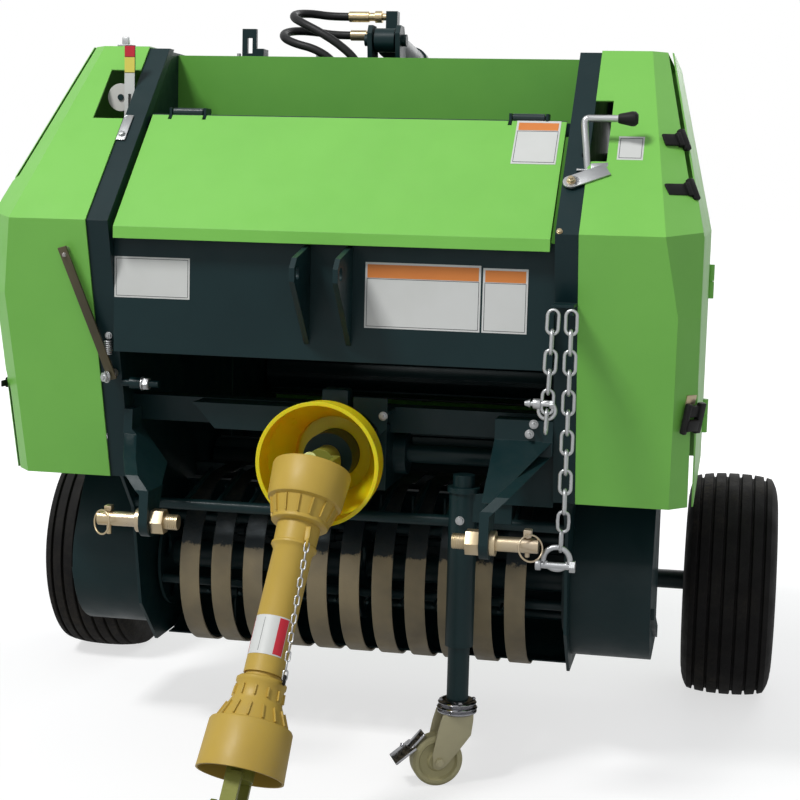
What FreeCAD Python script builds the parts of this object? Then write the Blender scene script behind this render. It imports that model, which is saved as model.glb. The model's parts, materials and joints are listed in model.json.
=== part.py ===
"""Mini round baler, towed, for bales of 500 mm by 700 mm.

Millimetres.  X points to the machine's left as it travels towards -Y, Z is up and the ground is Z = 0.
While the pieces are made, Y is counted from a datum plane above the front of the twine box; at the end
everything is moved so that the origin lies on the ground at the middle of the whole machine's box.
"""
import FreeCAD
import Part
import math
import os

V = FreeCAD.Vector
X, Y, Z = V(1, 0, 0), V(0, 1, 0), V(0, 0, 1)
SIDES = (("left", 1), ("right", -1))

# ---------------------------------------------------------------- driving dimensions
# clearances: what moves past, what turns in a bore, what only rests beside
MOVE_GAP, RUN_GAP, SEAT_GAP = 6.0, 0.05, 0.3

# bale chamber and frame
CHAMBER_WIDTH = 700.0
CHAMBER_Y, CHAMBER_Z = 520.0, 690.0
BALE_R = 250.0
PLATE_T, SHEET_T = 5.0, 2.5
POST_IN, POST_OUT, POST_DEPTH = 15.0, 19.0, 21.0
FRAME_X = CHAMBER_WIDTH / 2
PLATE_X = FRAME_X + PLATE_T

# side profile of the front, as (y, z)
TOP_CORNER = (83.0, 1144.0)
BREAK = (-197.0, 865.0)
BOTTOM_FRONT = (-88.0, 459.0)
COVER_REAR = 470.0

# side covers, counted outwards from the post
COVER_IN = FRAME_X + POST_OUT
COVER_OUT = COVER_IN + 174.0
COVER_TOP_OUT = COVER_OUT - 65.0
DOOR_FRONT = -88.0
NOTCHES = {
    # side: width, lower and upper end as heights above the break
    "left": (27.0, 105.0, 198.0), "right": (50.0, 157.0, 238.0),
}
HINGE_R, HINGE_BOSS_R = 4.0, 7.0

# running gear
AXLE_Y = 574.0
TYRE_R, TYRE_W = 206.0, 164.0
TRACK_HALF = FRAME_X + 255.0
RIM_R, RIM_T = 104.0, 4.0
AXLE_R, STUB_R = 17.5, 13.5

# pickup
PICKUP_Y, PICKUP_Z, PICKUP_R = 160.0, 288.0, 145.0
BAND_W, BAND_PITCH, BAND_T = 33.0, 54.0, 3.0
REEL_TUBE_R, TINE_TIP_R, TINE_R = 24.0, 132.0, 2.5
TINE_BARS, TINE_ORBIT, TINE_BAR_R = 4, 78.0, 8.0
PICKUP_END_W, PICKUP_END_R, PICKUP_END_TOP = 128.0, 123.0, 430.0
PAN_FROM, PAN_TO = -95.0, 55.0

# chamber rollers
ROLLER_R, ROLLER_SHAFT_R = 42.0, 15.0
ROLLER_RIBS, ROLLER_RIB = 8, 4.0
ROLLER_ORBIT = BALE_R + ROLLER_R + ROLLER_RIB
CHAIN_W, CHAIN_H = 10.0, 9.0
CHAIN_X = PLATE_X + 22.0

# hitch
PIN_Y, PIN_Z, PIN_R, PIN_LENGTH = -230.0, 421.0, 11.0, 70.0
BRACKET_IN, BRACKET_T, BRACKET_TOP = 248.0, 14.0, 572.0
EAR_Y, EAR_Z, EAR_HOLE_R, EAR_X, EAR_T = -241.0, 799.0, 9.75, 32.0, 8.0
PANEL_Y, PANEL_LOW, PANEL_TOP, PANEL_RETURN = -165.0, 666.0, 850.0, 104.0

# drive shaft
JOINT_Y, JOINT_Z = -238.0, 518.0
SHAFT_DROP, SHAFT_TURN = 58.0, 8.0
YOKE_HUB_R, YOKE_REACH, YOKE_ARM_IN, YOKE_ARM_T, YOKE_EYE_R, TRUNNION_R = 20.0, 40.0, 23.0, 7.0, 11.0, 6.0
END_JOINT, END_HUB = 503.0, 46.0
SPLINE_R = 17.4
INNER_TUBE_R, OUTER_TUBE_R, TUBE_T = 14.0, 18.0, 3.5
GUARD_T = 3.0
REAR_GUARD_END, FRONT_GUARD_START = 316.0, 190.0

# jack
JACK_X, JACK_Y = 195.0, -61.0
SLEEVE_R, LEG_R, SLEEVE_LOW, SLEEVE_TOP = 22.0, 17.0, 221.0, 471.0
CASTOR_R, CASTOR_W = 40.0, 30.0
CASTOR_PLATE_Z, BEARING_H, BEARING_R = 114.0, 22.0, 26.0
STEM_R, STEM_UP = 9.0, 24.0
CASTOR_OFFSET = V(-29.0, -13.0, 0.0)

# tailgate and its cylinder
GATE_Y, GATE_Z, GATE_PIN_R = 440.0, 1075.0, 12.0
GATE_R, GATE_FRONT = 372.0, 512.0
CYL_BASE = (250.0, 1172.0)
CYL_EYE = (700.0, 1135.0)
CYL_R, ROD_R, BARREL_LENGTH = 25.0, 14.0, 262.0
BORE_BOTTOM, ROD_INSIDE = 60.0, 22.0
CYL_X, LUG_X, LUG_T, EYE_HALF = -10.0, 20.0, 8.0, 17.0
CYL_PIN_R = 10.0

# twine box
FLOOR_Z, WALL_Y, WALL_TOP = 700.0, 170.0, 1137.0
HOOD_TOP, HOOD_LOW, HOOD_SIDE = (-11.0, 1035.0), (-189.0, 857.0), 22.0

# hydraulic hoses
HOSE_R = 7.0
HOSE_UPPER = [V(-86, 302, 1216), V(-118, 302, 1216), V(-150, 294, 1220), V(-172, 268, 1217),
              V(-170, 235, 1208),
              V(-146, 210, 1196), V(-112, 198, 1180), V(-78, 195, 1160), V(-50, 198, 1136),
              V(-38, 203, 1106),
              V(-38, 203, 1076)]
HOSE_LOWER = [V(-84, 308, 1185), V(-114, 308, 1185), V(-146, 304, 1190), V(-176, 284, 1190),
              V(-190, 254, 1183),
              V(-182, 224, 1172), V(-156, 206, 1161), V(-122, 200, 1153), V(-92, 201, 1136),
              V(-74, 204, 1108),
              V(-74, 204, 1078)]

SHAPES = {}


# ---------------------------------------------------------------- helpers
def box(x0, x1, y0, y1, z0, z1):
    return Part.makeBox(x1 - x0, y1 - y0, z1 - z0, V(x0, y0, z0))


def rod(start, end, radius):
    run = end - start
    return Part.makeCylinder(radius, run.Length, start, run)


def tube(start, end, radius, bore):
    return rod(start, end, radius).cut(rod(start, end, bore))


def bar_x(y, z, half, radius):
    return rod(V(-half, y, z), V(half, y, z), radius)


def disc_x(x0, x1, y, z, radius):
    return rod(V(x0, y, z), V(x1, y, z), radius)


def plate_yz(points, x0, x1):
    """A plate cut from an outline of (y, z) points, between two X positions."""
    wire = Part.makePolygon([V(x0, y, z) for y, z in points + points[:1]])
    return Part.Face(wire).extrude(V(x1 - x0, 0, 0))


def plate_xz(points, y0, y1):
    wire = Part.makePolygon([V(x, y0, z) for x, z in points + points[:1]])
    return Part.Face(wire).extrude(V(0, y1 - y0, 0))


def arc_plate_yz(x0, x1, start, moves):
    """A plate whose outline runs on from start: (y, z) is a line, ((y, z), (y, z)) an arc with its middle."""
    edges, here = [], V(x0, *start)
    for move in moves:
        if isinstance(move[0], tuple):
            middle, end = V(x0, *move[0]), V(x0, *move[1])
            edges.append(Part.Arc(here, middle, end).toShape())
        else:
            end = V(x0, *move)
            edges.append(Part.LineSegment(here, end).toShape())
        here = end
    if here.distanceToPoint(V(x0, *start)) > 0.001:
        edges.append(Part.LineSegment(here, V(x0, *start)).toShape())
    return Part.Face(Part.Wire(edges)).extrude(V(x1 - x0, 0, 0))


def on_circle(y, z, radius, degrees):
    turn = math.radians(degrees)
    return y + radius * math.cos(turn), z + radius * math.sin(turn)


def fuse(shapes):
    whole = shapes[0]
    if len(shapes) > 1:
        whole = whole.fuse(shapes[1:])
    return whole.removeSplitter()


def mirror(shape):
    return shape.mirror(V(0, 0, 0), X)


def sided(shape, side):
    """A shape drawn for the +X side, on the side asked for."""
    return shape.copy() if side > 0 else mirror(shape)


def both(shape):
    return shape, mirror(shape)


def keep(node, *shapes):
    solids = [solid for shape in shapes for solid in shape.Solids]
    SHAPES[node] = solids[0] if len(solids) == 1 else Part.makeCompound(solids)


def inside(planes, size=4000.0):
    """The solid that lies behind every plane, each given as (point, outward normal)."""
    whole = None
    for point, normal in planes:
        block = Part.makeBox(size, size, size, V(-size / 2, -size / 2, -size))
        block.Placement = FreeCAD.Placement(point, FreeCAD.Rotation(Z, normal))
        whole = block if whole is None else whole.common(block)
    return whole


def revolve(profile, origin, axis):
    """Turn an outline of (along, radius) points about an axis."""
    wire = Part.makePolygon([V(r, 0, a) for a, r in profile + profile[:1]])
    solid = Part.Face(wire).revolve(V(0, 0, 0), Z, 360)
    solid.Placement = FreeCAD.Placement(origin, FreeCAD.Rotation(Z, axis))
    return solid


def rounded_tube(points, radius):
    """A tube along straight runs joined by tangent arcs, each as large as its two runs allow."""
    edges, here = [], points[0]
    for before, corner, after in zip(points, points[1:], points[2:]):
        back, on = before - corner, after - corner
        half_turn = (math.pi - back.getAngle(on)) / 2
        reach = 0.45 * min(back.Length, on.Length)
        back.normalize()
        on.normalize()
        first, last = corner + back * reach, corner + on * reach
        arc_radius = reach / math.tan(half_turn)
        middle_way = back + on
        middle_way.normalize()
        middle = corner + middle_way * (arc_radius / math.cos(half_turn) - arc_radius)
        edges.append(Part.LineSegment(here, first).toShape())
        edges.append(Part.Arc(first, middle, last).toShape())
        here = last
    edges.append(Part.LineSegment(here, points[-1]).toShape())
    path = Part.Wire(edges)
    section = Part.Wire(Part.makeCircle(radius, points[0], points[1] - points[0]))
    return path.makePipeShell([section], True, True)


# ---------------------------------------------------------------- side covers and doors
LEAN_Z = BREAK[1]
COVER_PLANES = (
    # name, point, outward normal
    ("outer", V(COVER_OUT, 0, 0), V(1, 0, 0)),
    ("lean", V(COVER_OUT, 0, LEAN_Z), V(TOP_CORNER[1] - LEAN_Z, 0, COVER_OUT - COVER_TOP_OUT)),
    ("front", V(0, *BREAK), V(0, BOTTOM_FRONT[1] - BREAK[1], BREAK[0] - BOTTOM_FRONT[0])),
    ("slope", V(0, *BREAK), V(0, -1, 1)),
    ("top", V(0, *TOP_CORNER), V(0, 0, 1)),
    ("edge_low", V(COVER_OUT - 31, -166, 750), V(0.745, -0.642, -0.182)),
    ("edge_mid", V(COVER_OUT - 31, -166, 750), V(0.757, -0.652, -0.037)),
    ("edge_top", V(COVER_OUT - 52, *BREAK), V(0.547, -0.547, 0.634)),
    ("rear", V(0, COVER_REAR, 0), V(0, 1, 0)),
    ("bottom", V(0, 0, BOTTOM_FRONT[1]), V(0, 0, -1)),
    ("inner", V(COVER_IN, 0, 0), V(-1, 0, 0)),
)
DOOR_WALLS = ("outer", "lean")
HINGE_X, HINGE_Y = COVER_OUT + 2.0, COVER_REAR - 14.0
HINGE_HEIGHTS = (520.0, 760.0)
KNUCKLE_L = 30.0


def cover_form(inset, depth=SHEET_T):
    """The side cover's outer form, with the named walls moved in by a depth."""
    planes = []
    for name, point, normal in COVER_PLANES:
        unit = V(normal)
        unit.normalize()
        shift = depth if name in inset else (-1.0 if inset else 0.0)
        planes.append((point - unit * shift, unit))
    return inside(planes)


def slope_block(x0, x1, low, top, deep=40.0):
    """A block square to the sloping front, between two heights above the break."""
    y, z = BREAK
    return plate_yz([(y + low - deep, z + low + deep), (y + top - deep, z + top + deep),
                     (y + top + deep, z + top - deep), (y + low + deep, z + low - deep)], x0, x1)


def covers():
    solid = cover_form(())
    fixed_walls = [name for name, _, _ in COVER_PLANES if name not in DOOR_WALLS + ("bottom", "inner")]
    door_sheet = solid.cut(cover_form(DOOR_WALLS))
    door = door_sheet.common(box(0, 1000, DOOR_FRONT, HINGE_Y, 0, 1300))
    door_space = solid.cut(cover_form(DOOR_WALLS, SHEET_T + MOVE_GAP)).common(
        box(0, 1000, DOOR_FRONT - MOVE_GAP, HINGE_Y + HINGE_BOSS_R + MOVE_GAP, 0, 1300))
    strips = [door_sheet.common(box(0, 1000, -300, DOOR_FRONT - MOVE_GAP, 0, 1300)),
              door_sheet.common(box(0, 1000, HINGE_Y + HINGE_BOSS_R + MOVE_GAP, COVER_REAR, 0, 1300))]
    shell = fuse([solid.cut(cover_form(fixed_walls))] + strips).cut(door_space)
    shell_parts, door_parts = [shell], [door]
    for height in HINGE_HEIGHTS:
        centre = V(HINGE_X, HINGE_Y, height)
        shell_parts.append(rod(centre - Z * (KNUCKLE_L / 2), centre + Z * (KNUCKLE_L * 1.5), HINGE_R))
        shell_parts.append(rod(centre + Z * (KNUCKLE_L / 2 + 1), centre + Z * (KNUCKLE_L * 1.5),
                               HINGE_BOSS_R))
        shell_parts.append(box(HINGE_X - SHEET_T - 2, HINGE_X - 2, HINGE_Y, COVER_REAR - 1,
                               height + KNUCKLE_L / 2 + 1, height + KNUCKLE_L * 1.5))
        door_parts.append(rod(centre - Z * (KNUCKLE_L / 2), centre + Z * (KNUCKLE_L / 2), HINGE_BOSS_R))
    shell = fuse(shell_parts)
    door = fuse(door_parts)
    clear = []
    for height in HINGE_HEIGHTS:
        centre = V(HINGE_X, HINGE_Y, height)
        door = door.cut(rod(centre - Z * KNUCKLE_L, centre + Z * KNUCKLE_L * 1.6, HINGE_R + RUN_GAP))
        clear.append(rod(centre + Z * (KNUCKLE_L / 2 + 0.5), centre + Z * (KNUCKLE_L * 1.5 + 1),
                         HINGE_BOSS_R + 1))
    door = door.cut(fuse(clear))
    for name, side in SIDES:
        width, low, top = NOTCHES[name]
        notched = shell.cut(slope_block(COVER_IN - 1, COVER_IN + width, low, top))
        keep("front_cover_" + name, sided(notched, side))
        keep("side_door_" + name, sided(door, side))


# ---------------------------------------------------------------- chamber side plates and posts
AXLE_EAR = 36.0
PLATE_OUTLINE = [
    (BREAK[0] + 6, BREAK[1] - 2), (TOP_CORNER[0] + 2, TOP_CORNER[1] - 4), (330.0, 1140.0),
                 (GATE_Y + 20, 1128.0),
    (GATE_Y + 40, 1100.0), (GATE_FRONT - 7, 1060.0), (GATE_FRONT - 7, 305.0), (AXLE_Y + AXLE_EAR, 305.0),
    (AXLE_Y + AXLE_EAR, TYRE_R - 34), (AXLE_Y - AXLE_EAR, TYRE_R - 34), (AXLE_Y - 150, 262.0),
                 (340.0, 300.0),
    (300.0, 150.0), (90.0, 150.0), (10.0, 230.0), (-30.0, 400.0), (BOTTOM_FRONT[0] + 6, BOTTOM_FRONT[1]),
]


def side_plates():
    plate = plate_yz(PLATE_OUTLINE, FRAME_X, PLATE_X)
    y0, z0 = BREAK[0] + 3.5, BREAK[1] - 0.5
    y1, z1 = TOP_CORNER[0] + 0.5, TOP_CORNER[1] - 3
    y2, z2 = BOTTOM_FRONT[0] + 3.5, BOTTOM_FRONT[1]
    post = plate_yz([(y0, z0), (y1, z1), (y1 + POST_DEPTH, z1), (y0 + POST_DEPTH, z0 - 8),
                     (y2 + POST_DEPTH, z2), (y2, z2)], FRAME_X - POST_IN, FRAME_X + POST_OUT)
    whole = fuse([plate, post])
    for _, angle in FRONT_ROLLERS:
        y, z = roller_centre(angle)
        whole = fuse([whole, disc_x(PLATE_X - 1, PLATE_X + 8, y, z, ROLLER_SHAFT_R + 16)])
        whole = whole.cut(bar_x(y, z, PLATE_X + 20, ROLLER_SHAFT_R + RUN_GAP))
    whole = fuse([whole, disc_x(PLATE_X - 1, PLATE_X + 14, GATE_Y, GATE_Z, GATE_PIN_R)])
    whole = whole.cut(bar_x(AXLE_Y, TYRE_R, PLATE_X + 20, AXLE_R + RUN_GAP))
    whole = whole.cut(bar_x(PICKUP_Y, PICKUP_Z, PLATE_X + 20, REEL_SHAFT_R + RUN_GAP))
    for name, side in SIDES:
        plate = sided(whole, side)
        if name == "left":
            bearing = box(PLATE_X - 1, CRANK_X + 10, CRANK_Y - 10, CRANK_Y + 10, 930, 956)
            bore = rod(V(CRANK_X, CRANK_Y, 900), V(CRANK_X, CRANK_Y, 1000), 5 + RUN_GAP)
            plate = fuse([plate, bearing, chain_hanger()]).cut(bore)
            plate = plate.cut(bar_x(*DRIVE_CENTRE, PLATE_X + 20, ROLLER_SHAFT_R + RUN_GAP))
        keep("side_plate_" + name, plate)


CRANK_X, CRANK_Y = PLATE_X + 8.0, -78.0


# ---------------------------------------------------------------- front panel, crossbeam, twine box
CROSS_Y, CROSS_Z, CROSS_SIZE, WALL = -38.0, 546.0, 40.0, 4.0
CASE_HALF, CASE_FRONT, CASE_REAR, CASE_DOWN, CASE_UP = 72.0, -62.0, 86.0, 60.0, 42.0
LEDGE_Y, LEDGE_Z = -92.0, 585.0


CROSS_MEMBERS = []


def square_tube_x(y, z, size, half):
    return box(-half, half, y, y + size, z, z + size).cut(
        box(-half - 1, half + 1, y + WALL, y + size - WALL, z + WALL, z + size - WALL))


def front_structure():
    inner = FRAME_X - POST_IN
    panel = plate_yz([(PANEL_Y, PANEL_TOP), (PANEL_Y, PANEL_LOW), (PANEL_Y + PANEL_RETURN, PANEL_LOW),
                      (PANEL_Y + PANEL_RETURN, PANEL_LOW + SHEET_T),
                      (PANEL_Y + SHEET_T, PANEL_LOW + SHEET_T),
                      (PANEL_Y + SHEET_T, PANEL_TOP - SHEET_T), (PANEL_Y + 16, PANEL_TOP - SHEET_T),
                      (PANEL_Y + 16, PANEL_TOP)], -inner, inner)
    keep("front_panel", panel)
    cross = square_tube_x(CROSS_Y, CROSS_Z, CROSS_SIZE, FRAME_X)
    ledge = box(-232, 80, LEDGE_Y, CROSS_Y, LEDGE_Z - PLATE_T, LEDGE_Z)
    lip = plate_xz([(-232, LEDGE_Z), (-66, LEDGE_Z), (-66, LEDGE_Z - 40), (-196, LEDGE_Z - 40)], LEDGE_Y,
                   LEDGE_Y + PLATE_T)
    cheek = plate_xz([(25, LEDGE_Z - PLATE_T), (25, LEDGE_Z + 20), (78, LEDGE_Z + 20), (78, LEDGE_Z - 25),
                      (68, LEDGE_Z - 36), (62, LEDGE_Z - 24), (40, LEDGE_Z - PLATE_T)], LEDGE_Y,
                     LEDGE_Y + PLATE_T)
    case_space = box(-CASE_HALF - SEAT_GAP, CASE_HALF + SEAT_GAP, CASE_FRONT - SEAT_GAP, CASE_REAR,
                     JOINT_Z - CASE_DOWN, JOINT_Z + CASE_UP + SEAT_GAP)
    CROSS_MEMBERS.append(fuse([cross, ledge, lip, cheek]).cut(case_space))
    floor = box(-FRAME_X, FRAME_X, PANEL_Y + SHEET_T, WALL_Y, FLOOR_Z, FLOOR_Z + SHEET_T)
    wall = box(-FRAME_X, FRAME_X, WALL_Y, WALL_Y + SHEET_T, FLOOR_Z, WALL_TOP)
    rim = box(-FRAME_X, FRAME_X, WALL_Y, WALL_Y + 14, WALL_TOP - SHEET_T, WALL_TOP)
    post_space = box(inner, FRAME_X + 1, -300, DOOR_FRONT, FLOOR_Z - 1, FLOOR_Z + 40)
    keep("twine_box", fuse([floor, wall, rim]).cut(post_space).cut(mirror(post_space)))
    rail_y, rail_z = HOOD_TOP[0] + 9, HOOD_TOP[1] - 27
    rail = square_tube_x(rail_y, rail_z, 20.0, FRAME_X)
    for x in (-HOOD_TAB_X, HOOD_TAB_X):
        rail = fuse([rail, box(x - 30, x - 26, HOOD_TOP[0] - 6, rail_y + 12, rail_z + 16, HOOD_TOP[1] + 6)])
        rail = fuse([rail, box(x + 26, x + 30, HOOD_TOP[0] - 6, rail_y + 12, rail_z + 16, HOOD_TOP[1] + 6)])
        rail = fuse([rail, disc_x(x - 30, x + 30, HOOD_TOP[0], HOOD_TOP[1], 3.0)])
    CROSS_MEMBERS.append(rail)


def top_frame():
    beam_y, beam_z, size = 235.0, 1085.0, 50.0
    beam = square_tube_x(beam_y, beam_z, size, FRAME_X)
    lifting_lug = box(-258, -233, beam_y, beam_y + 8, beam_z + size, beam_z + 103).cut(
        box(-249, -240, beam_y - 1, beam_y + 9, beam_z + size + 12, beam_z + 88))
    foot = box(-233, -220, beam_y, beam_y + 30, beam_z + size, beam_z + size + 20)
    top = beam_z + size
    lug = plate_yz([(beam_y, top), (CYL_BASE[0] - 24, CYL_BASE[1] + 10),
                    (CYL_BASE[0] - 14, CYL_BASE[1] + 24),
                    (CYL_BASE[0] + 14, CYL_BASE[1] + 24), (CYL_BASE[0] + 24, CYL_BASE[1] + 10),
                    (beam_y + size, top)], LUG_X, LUG_X + LUG_T)
    pin = disc_x(-LUG_X - LUG_T - 8, LUG_X + LUG_T + 8, *CYL_BASE, CYL_PIN_R)
    clevis = fuse([lug, mirror(lug), pin])
    clevis.translate(X * CYL_X)
    shelf = box(-92, -18, HOSE_UPPER[-1].y - 16, beam_y, HOSE_UPPER[-1].z - 26, HOSE_UPPER[-1].z - 22)
    hanger = box(-92, -18, beam_y - 4, beam_y, HOSE_UPPER[-1].z - 26, beam_z + 20)
    unions = [rod(V(end.x, end.y, HOSE_UPPER[-1].z - 40), end, 9.0) for end in (HOSE_UPPER[-1],
                                                                                HOSE_LOWER[-1])]
    CROSS_MEMBERS.append(fuse([beam, lifting_lug, foot, clevis, shelf, hanger] + unions))
    keep("cross_members", *CROSS_MEMBERS)


HOOD_TAB_X = 270.0


def hood():
    half = FRAME_X - HOOD_SIDE
    (y0, z0), (y1, z1) = HOOD_TOP, HOOD_LOW
    y0, z0 = y0 - 4, z0 - 4
    lid = plate_yz([(y0, z0), (y1, z1), (y1, z1 - 18), (y1 + SHEET_T, z1 - 18), (y1 + SHEET_T, z1 - 1),
                    (y0 + 2, z0 - 2)], -half, half)
    flange = plate_yz([(y0, z0 - 1), (y1 + 1, z1), (y1 + 1, z1 - 14), (y1 + 8, z1 - 12), (y0 + 2, z0 - 14)],
                      half - SHEET_T, half)
    pieces = [lid, flange, mirror(flange)]
    for x in (-HOOD_TAB_X, HOOD_TAB_X):
        pieces.append(disc_x(x - 24, x + 24, *HOOD_TOP, 6.0))
    whole = fuse(pieces)
    for x in (-HOOD_TAB_X, HOOD_TAB_X):
        whole = whole.cut(disc_x(x - 30, x + 30, *HOOD_TOP, 3.0 + RUN_GAP))
        for x0 in (x - 31, x + 25):
            whole = whole.cut(box(x0, x0 + 6, HOOD_TOP[0] - 12, HOOD_TOP[0] + 20, HOOD_TOP[1] - 20,
                                  HOOD_TOP[1] + 20))
    keep("hood", whole)


# ---------------------------------------------------------------- hitch
def hitch():
    ear_outline = [(PANEL_Y, PANEL_TOP - 12), (EAR_Y - 4, EAR_Z + 22), (EAR_Y - 18, EAR_Z + 8),
                   (EAR_Y - 18, EAR_Z - 12),
                   (PANEL_Y, PANEL_LOW + 24)]
    ears = []
    for x0 in (-EAR_X - EAR_T / 2, EAR_X - EAR_T / 2):
        ear = plate_yz(ear_outline, x0, x0 + EAR_T)
        ears.append(ear.cut(disc_x(x0 - 1, x0 + EAR_T + 1, EAR_Y, EAR_Z, EAR_HOLE_R)))
    keep("top_link_ears", *ears)
    inner, outer = BRACKET_IN, BRACKET_IN + BRACKET_T
    post_x, top_y = FRAME_X - POST_IN, -118.0
    web_z, bend_z = PIN_Z + 62, PIN_Z + 41
    boss_r = 24.0
    lean = post_x - outer
    bent = plate_xz([(post_x, BRACKET_TOP), (post_x, bend_z + lean), (outer, bend_z),
                     (outer, PIN_Z - boss_r - 1),
                     (inner, PIN_Z - boss_r - 1), (inner, bend_z + 6),
                     (post_x - BRACKET_T, bend_z + lean + 6),
                     (post_x - BRACKET_T, BRACKET_TOP)], PIN_Y - 40, top_y + 60)
    outline = arc_plate_yz(inner - 1, post_x + 1, (PIN_Y - boss_r, PIN_Z), [
        ((PIN_Y, PIN_Z - boss_r), (PIN_Y + boss_r, PIN_Z)), (PIN_Y + 46, web_z - 14),
                                                                            (top_y + 16, web_z + 6),
        (top_y + 40, bend_z + lean), (top_y + 40, BRACKET_TOP), (top_y, BRACKET_TOP),
                                                                            (top_y - 4, web_z + 50),
        (PIN_Y + 34, web_z + 24), (PIN_Y - 6, web_z + 6), (PIN_Y - 18, web_z - 14)])
    plain = bent.common(outline).cut(disc_x(inner - 10, outer + 10, PIN_Y, PIN_Z, PIN_R + RUN_GAP))
    top_z = JOINT_Z + 38
    low = Part.makePolygon([V(inner, PIN_Y + 46, web_z - 4), V(outer, PIN_Y + 46, web_z - 4),
                            V(outer, PIN_Y - 4, web_z - 4), V(inner, PIN_Y - 4, web_z - 4),
                            V(inner, PIN_Y + 46, web_z - 4)])
    high = Part.makePolygon([V(inner, top_y + 10, top_z), V(post_x, top_y + 10, top_z),
                             V(post_x, top_y, top_z), V(inner, top_y, top_z), V(inner, top_y + 10, top_z)])
    web = Part.makeLoft([low, high], True, True)
    arm = box(inner, post_x, top_y, top_y + 40, top_z, top_z + 30)
    jack_plate = box(inner, post_x, JACK_PLATE_Y, JACK_PLATE_Y + PLATE_T, JACK_PLATE_LOW, top_z + 1)
    keep("hitch_brackets", fuse([plain, web, arm, jack_plate]), mirror(plain))
    pin = fuse([disc_x(BRACKET_IN - 41, outer + PIN_LENGTH, PIN_Y, PIN_Z, PIN_R),
                disc_x(outer + SEAT_GAP, outer + 6, PIN_Y, PIN_Z, 17),
                disc_x(inner - 20, inner - SEAT_GAP, PIN_Y, PIN_Z, 17)])
    for name, side in SIDES:
        keep("hitch_pin_" + name, sided(pin, side))


JACK_PLATE_Y, JACK_PLATE_LOW = -80.0, 450.0
LINK_LONG, LINK_R = 17.0, 2.5
LINK_HALF_W = 8.0
LINK_PITCH = 2 * LINK_LONG - 2 * LINK_R - 0.6
CHAIN_RUNS = (
    # top link's centre, links, lean of the chain from straight down along +X
    (V(340, -224, 742), 6, 0.03), (V(366, -224, 742), 10, 0.0),
)


def chain_link(centre, lean, turned):
    """One round link, upright, turned a quarter about the chain's line if asked."""
    side = LINK_LONG - LINK_HALF_W
    pieces = []
    for sign in (1, -1):
        pieces.append(rod(V(sign * LINK_HALF_W, 0, -side), V(sign * LINK_HALF_W, 0, side), LINK_R))
        bow = Part.makeTorus(LINK_HALF_W, LINK_R, V(0, 0, 0), Y, 0, 360, 180)
        bow.rotate(V(0, 0, 0), Y, -90 * sign)
        bow.translate(V(0, 0, side * sign))
        pieces.append(bow)
    link = fuse(pieces)
    if turned:
        link.rotate(V(0, 0, 0), Z, 90)
    link.rotate(V(0, 0, 0), Y, math.degrees(lean))
    link.translate(centre)
    return link


def safety_chains():
    links = []
    for top, count, lean in CHAIN_RUNS:
        step = V(-math.sin(lean), 0, -math.cos(lean)) * LINK_PITCH
        for i in range(count):
            links.append(chain_link(top + step * i, lean, i % 2 == 1))
    keep("safety_chains", *links)


def chain_hanger():
    (top, _, _), post_x = CHAIN_RUNS[0], FRAME_X - POST_IN
    eye_z, back = top.z + LINK_LONG - LINK_R - 0.5, top.y + LINK_R + 2
    hook = box(post_x + 1, post_x + 33, back, -150, eye_z + 6, eye_z + 10)
    for run, _, _ in CHAIN_RUNS:
        hook = fuse([hook, box(run.x - 2, run.x + 2, top.y - 4, back + 4, eye_z - 4, eye_z),
                     box(run.x - 2, run.x + 2, back, back + 4, eye_z - 4, eye_z + 10)])
    return hook


# ---------------------------------------------------------------- gearbox and drive shaft
def shaft_axis():
    drop, turn = math.radians(SHAFT_DROP), math.radians(SHAFT_TURN)
    return V(-math.sin(turn) * math.cos(drop), -math.cos(turn) * math.cos(drop), -math.sin(drop))


def swing_axis():
    axis = X.cross(shaft_axis())
    axis.normalize()
    return axis


def yoke(centre, towards_hub, arm_axis, hub_length):
    """A fork whose two arms hold a cross at the centre, with its hub along the given way."""
    arms = []
    across = towards_hub.cross(arm_axis)
    for sign in (-1, 1):
        foot = centre + arm_axis * (sign * YOKE_ARM_IN)
        corner = foot - across * YOKE_EYE_R
        outline = [corner, corner + towards_hub * (YOKE_REACH + 4), corner + towards_hub * (YOKE_REACH + 4)
                   + across * (2 * YOKE_EYE_R), corner + across * (2 * YOKE_EYE_R)]
        blade = Part.Face(Part.makePolygon(outline + outline[:1])).extrude(arm_axis * (sign * YOKE_ARM_T))
        eye = Part.makeCylinder(YOKE_EYE_R, YOKE_ARM_T, foot, arm_axis * sign)
        arms += [blade, eye]
    reach = YOKE_ARM_IN + YOKE_ARM_T
    base = Part.makeCylinder(reach, 8.0, centre + towards_hub * YOKE_REACH, towards_hub)
    flat = Part.makeBox(2 * reach, 2 * YOKE_EYE_R, 60)
    flat_corner = centre + towards_hub * (YOKE_REACH - 20) - arm_axis * reach - across * YOKE_EYE_R
    flat.Placement = FreeCAD.Placement(flat_corner, FreeCAD.Rotation(arm_axis, across, towards_hub, "ZXY"))
    base = base.common(fuse([flat, Part.makeCylinder(YOKE_HUB_R, 60,
                                                     centre + towards_hub * (YOKE_REACH - 20),
                                                     towards_hub)]))
    hub = Part.makeCylinder(YOKE_HUB_R, hub_length, centre + towards_hub * YOKE_REACH, towards_hub)
    whole = fuse(arms + [base, hub])
    bore = Part.makeCylinder(TRUNNION_R + RUN_GAP, 2 * reach + 4, centre - arm_axis * (reach + 2), arm_axis)
    return whole.cut(bore)


def cross(centre, axis_a, axis_b):
    reach = YOKE_ARM_IN + YOKE_ARM_T
    pieces = [Part.makeCylinder(TRUNNION_R, 2 * reach, centre - axis * reach, axis) for axis in (axis_a,
                                                                                                 axis_b)]
    pieces += [Part.makeCylinder(9.5, 30, centre - axis * 15, axis) for axis in (axis_a, axis_b)]
    return fuse(pieces)


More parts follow.
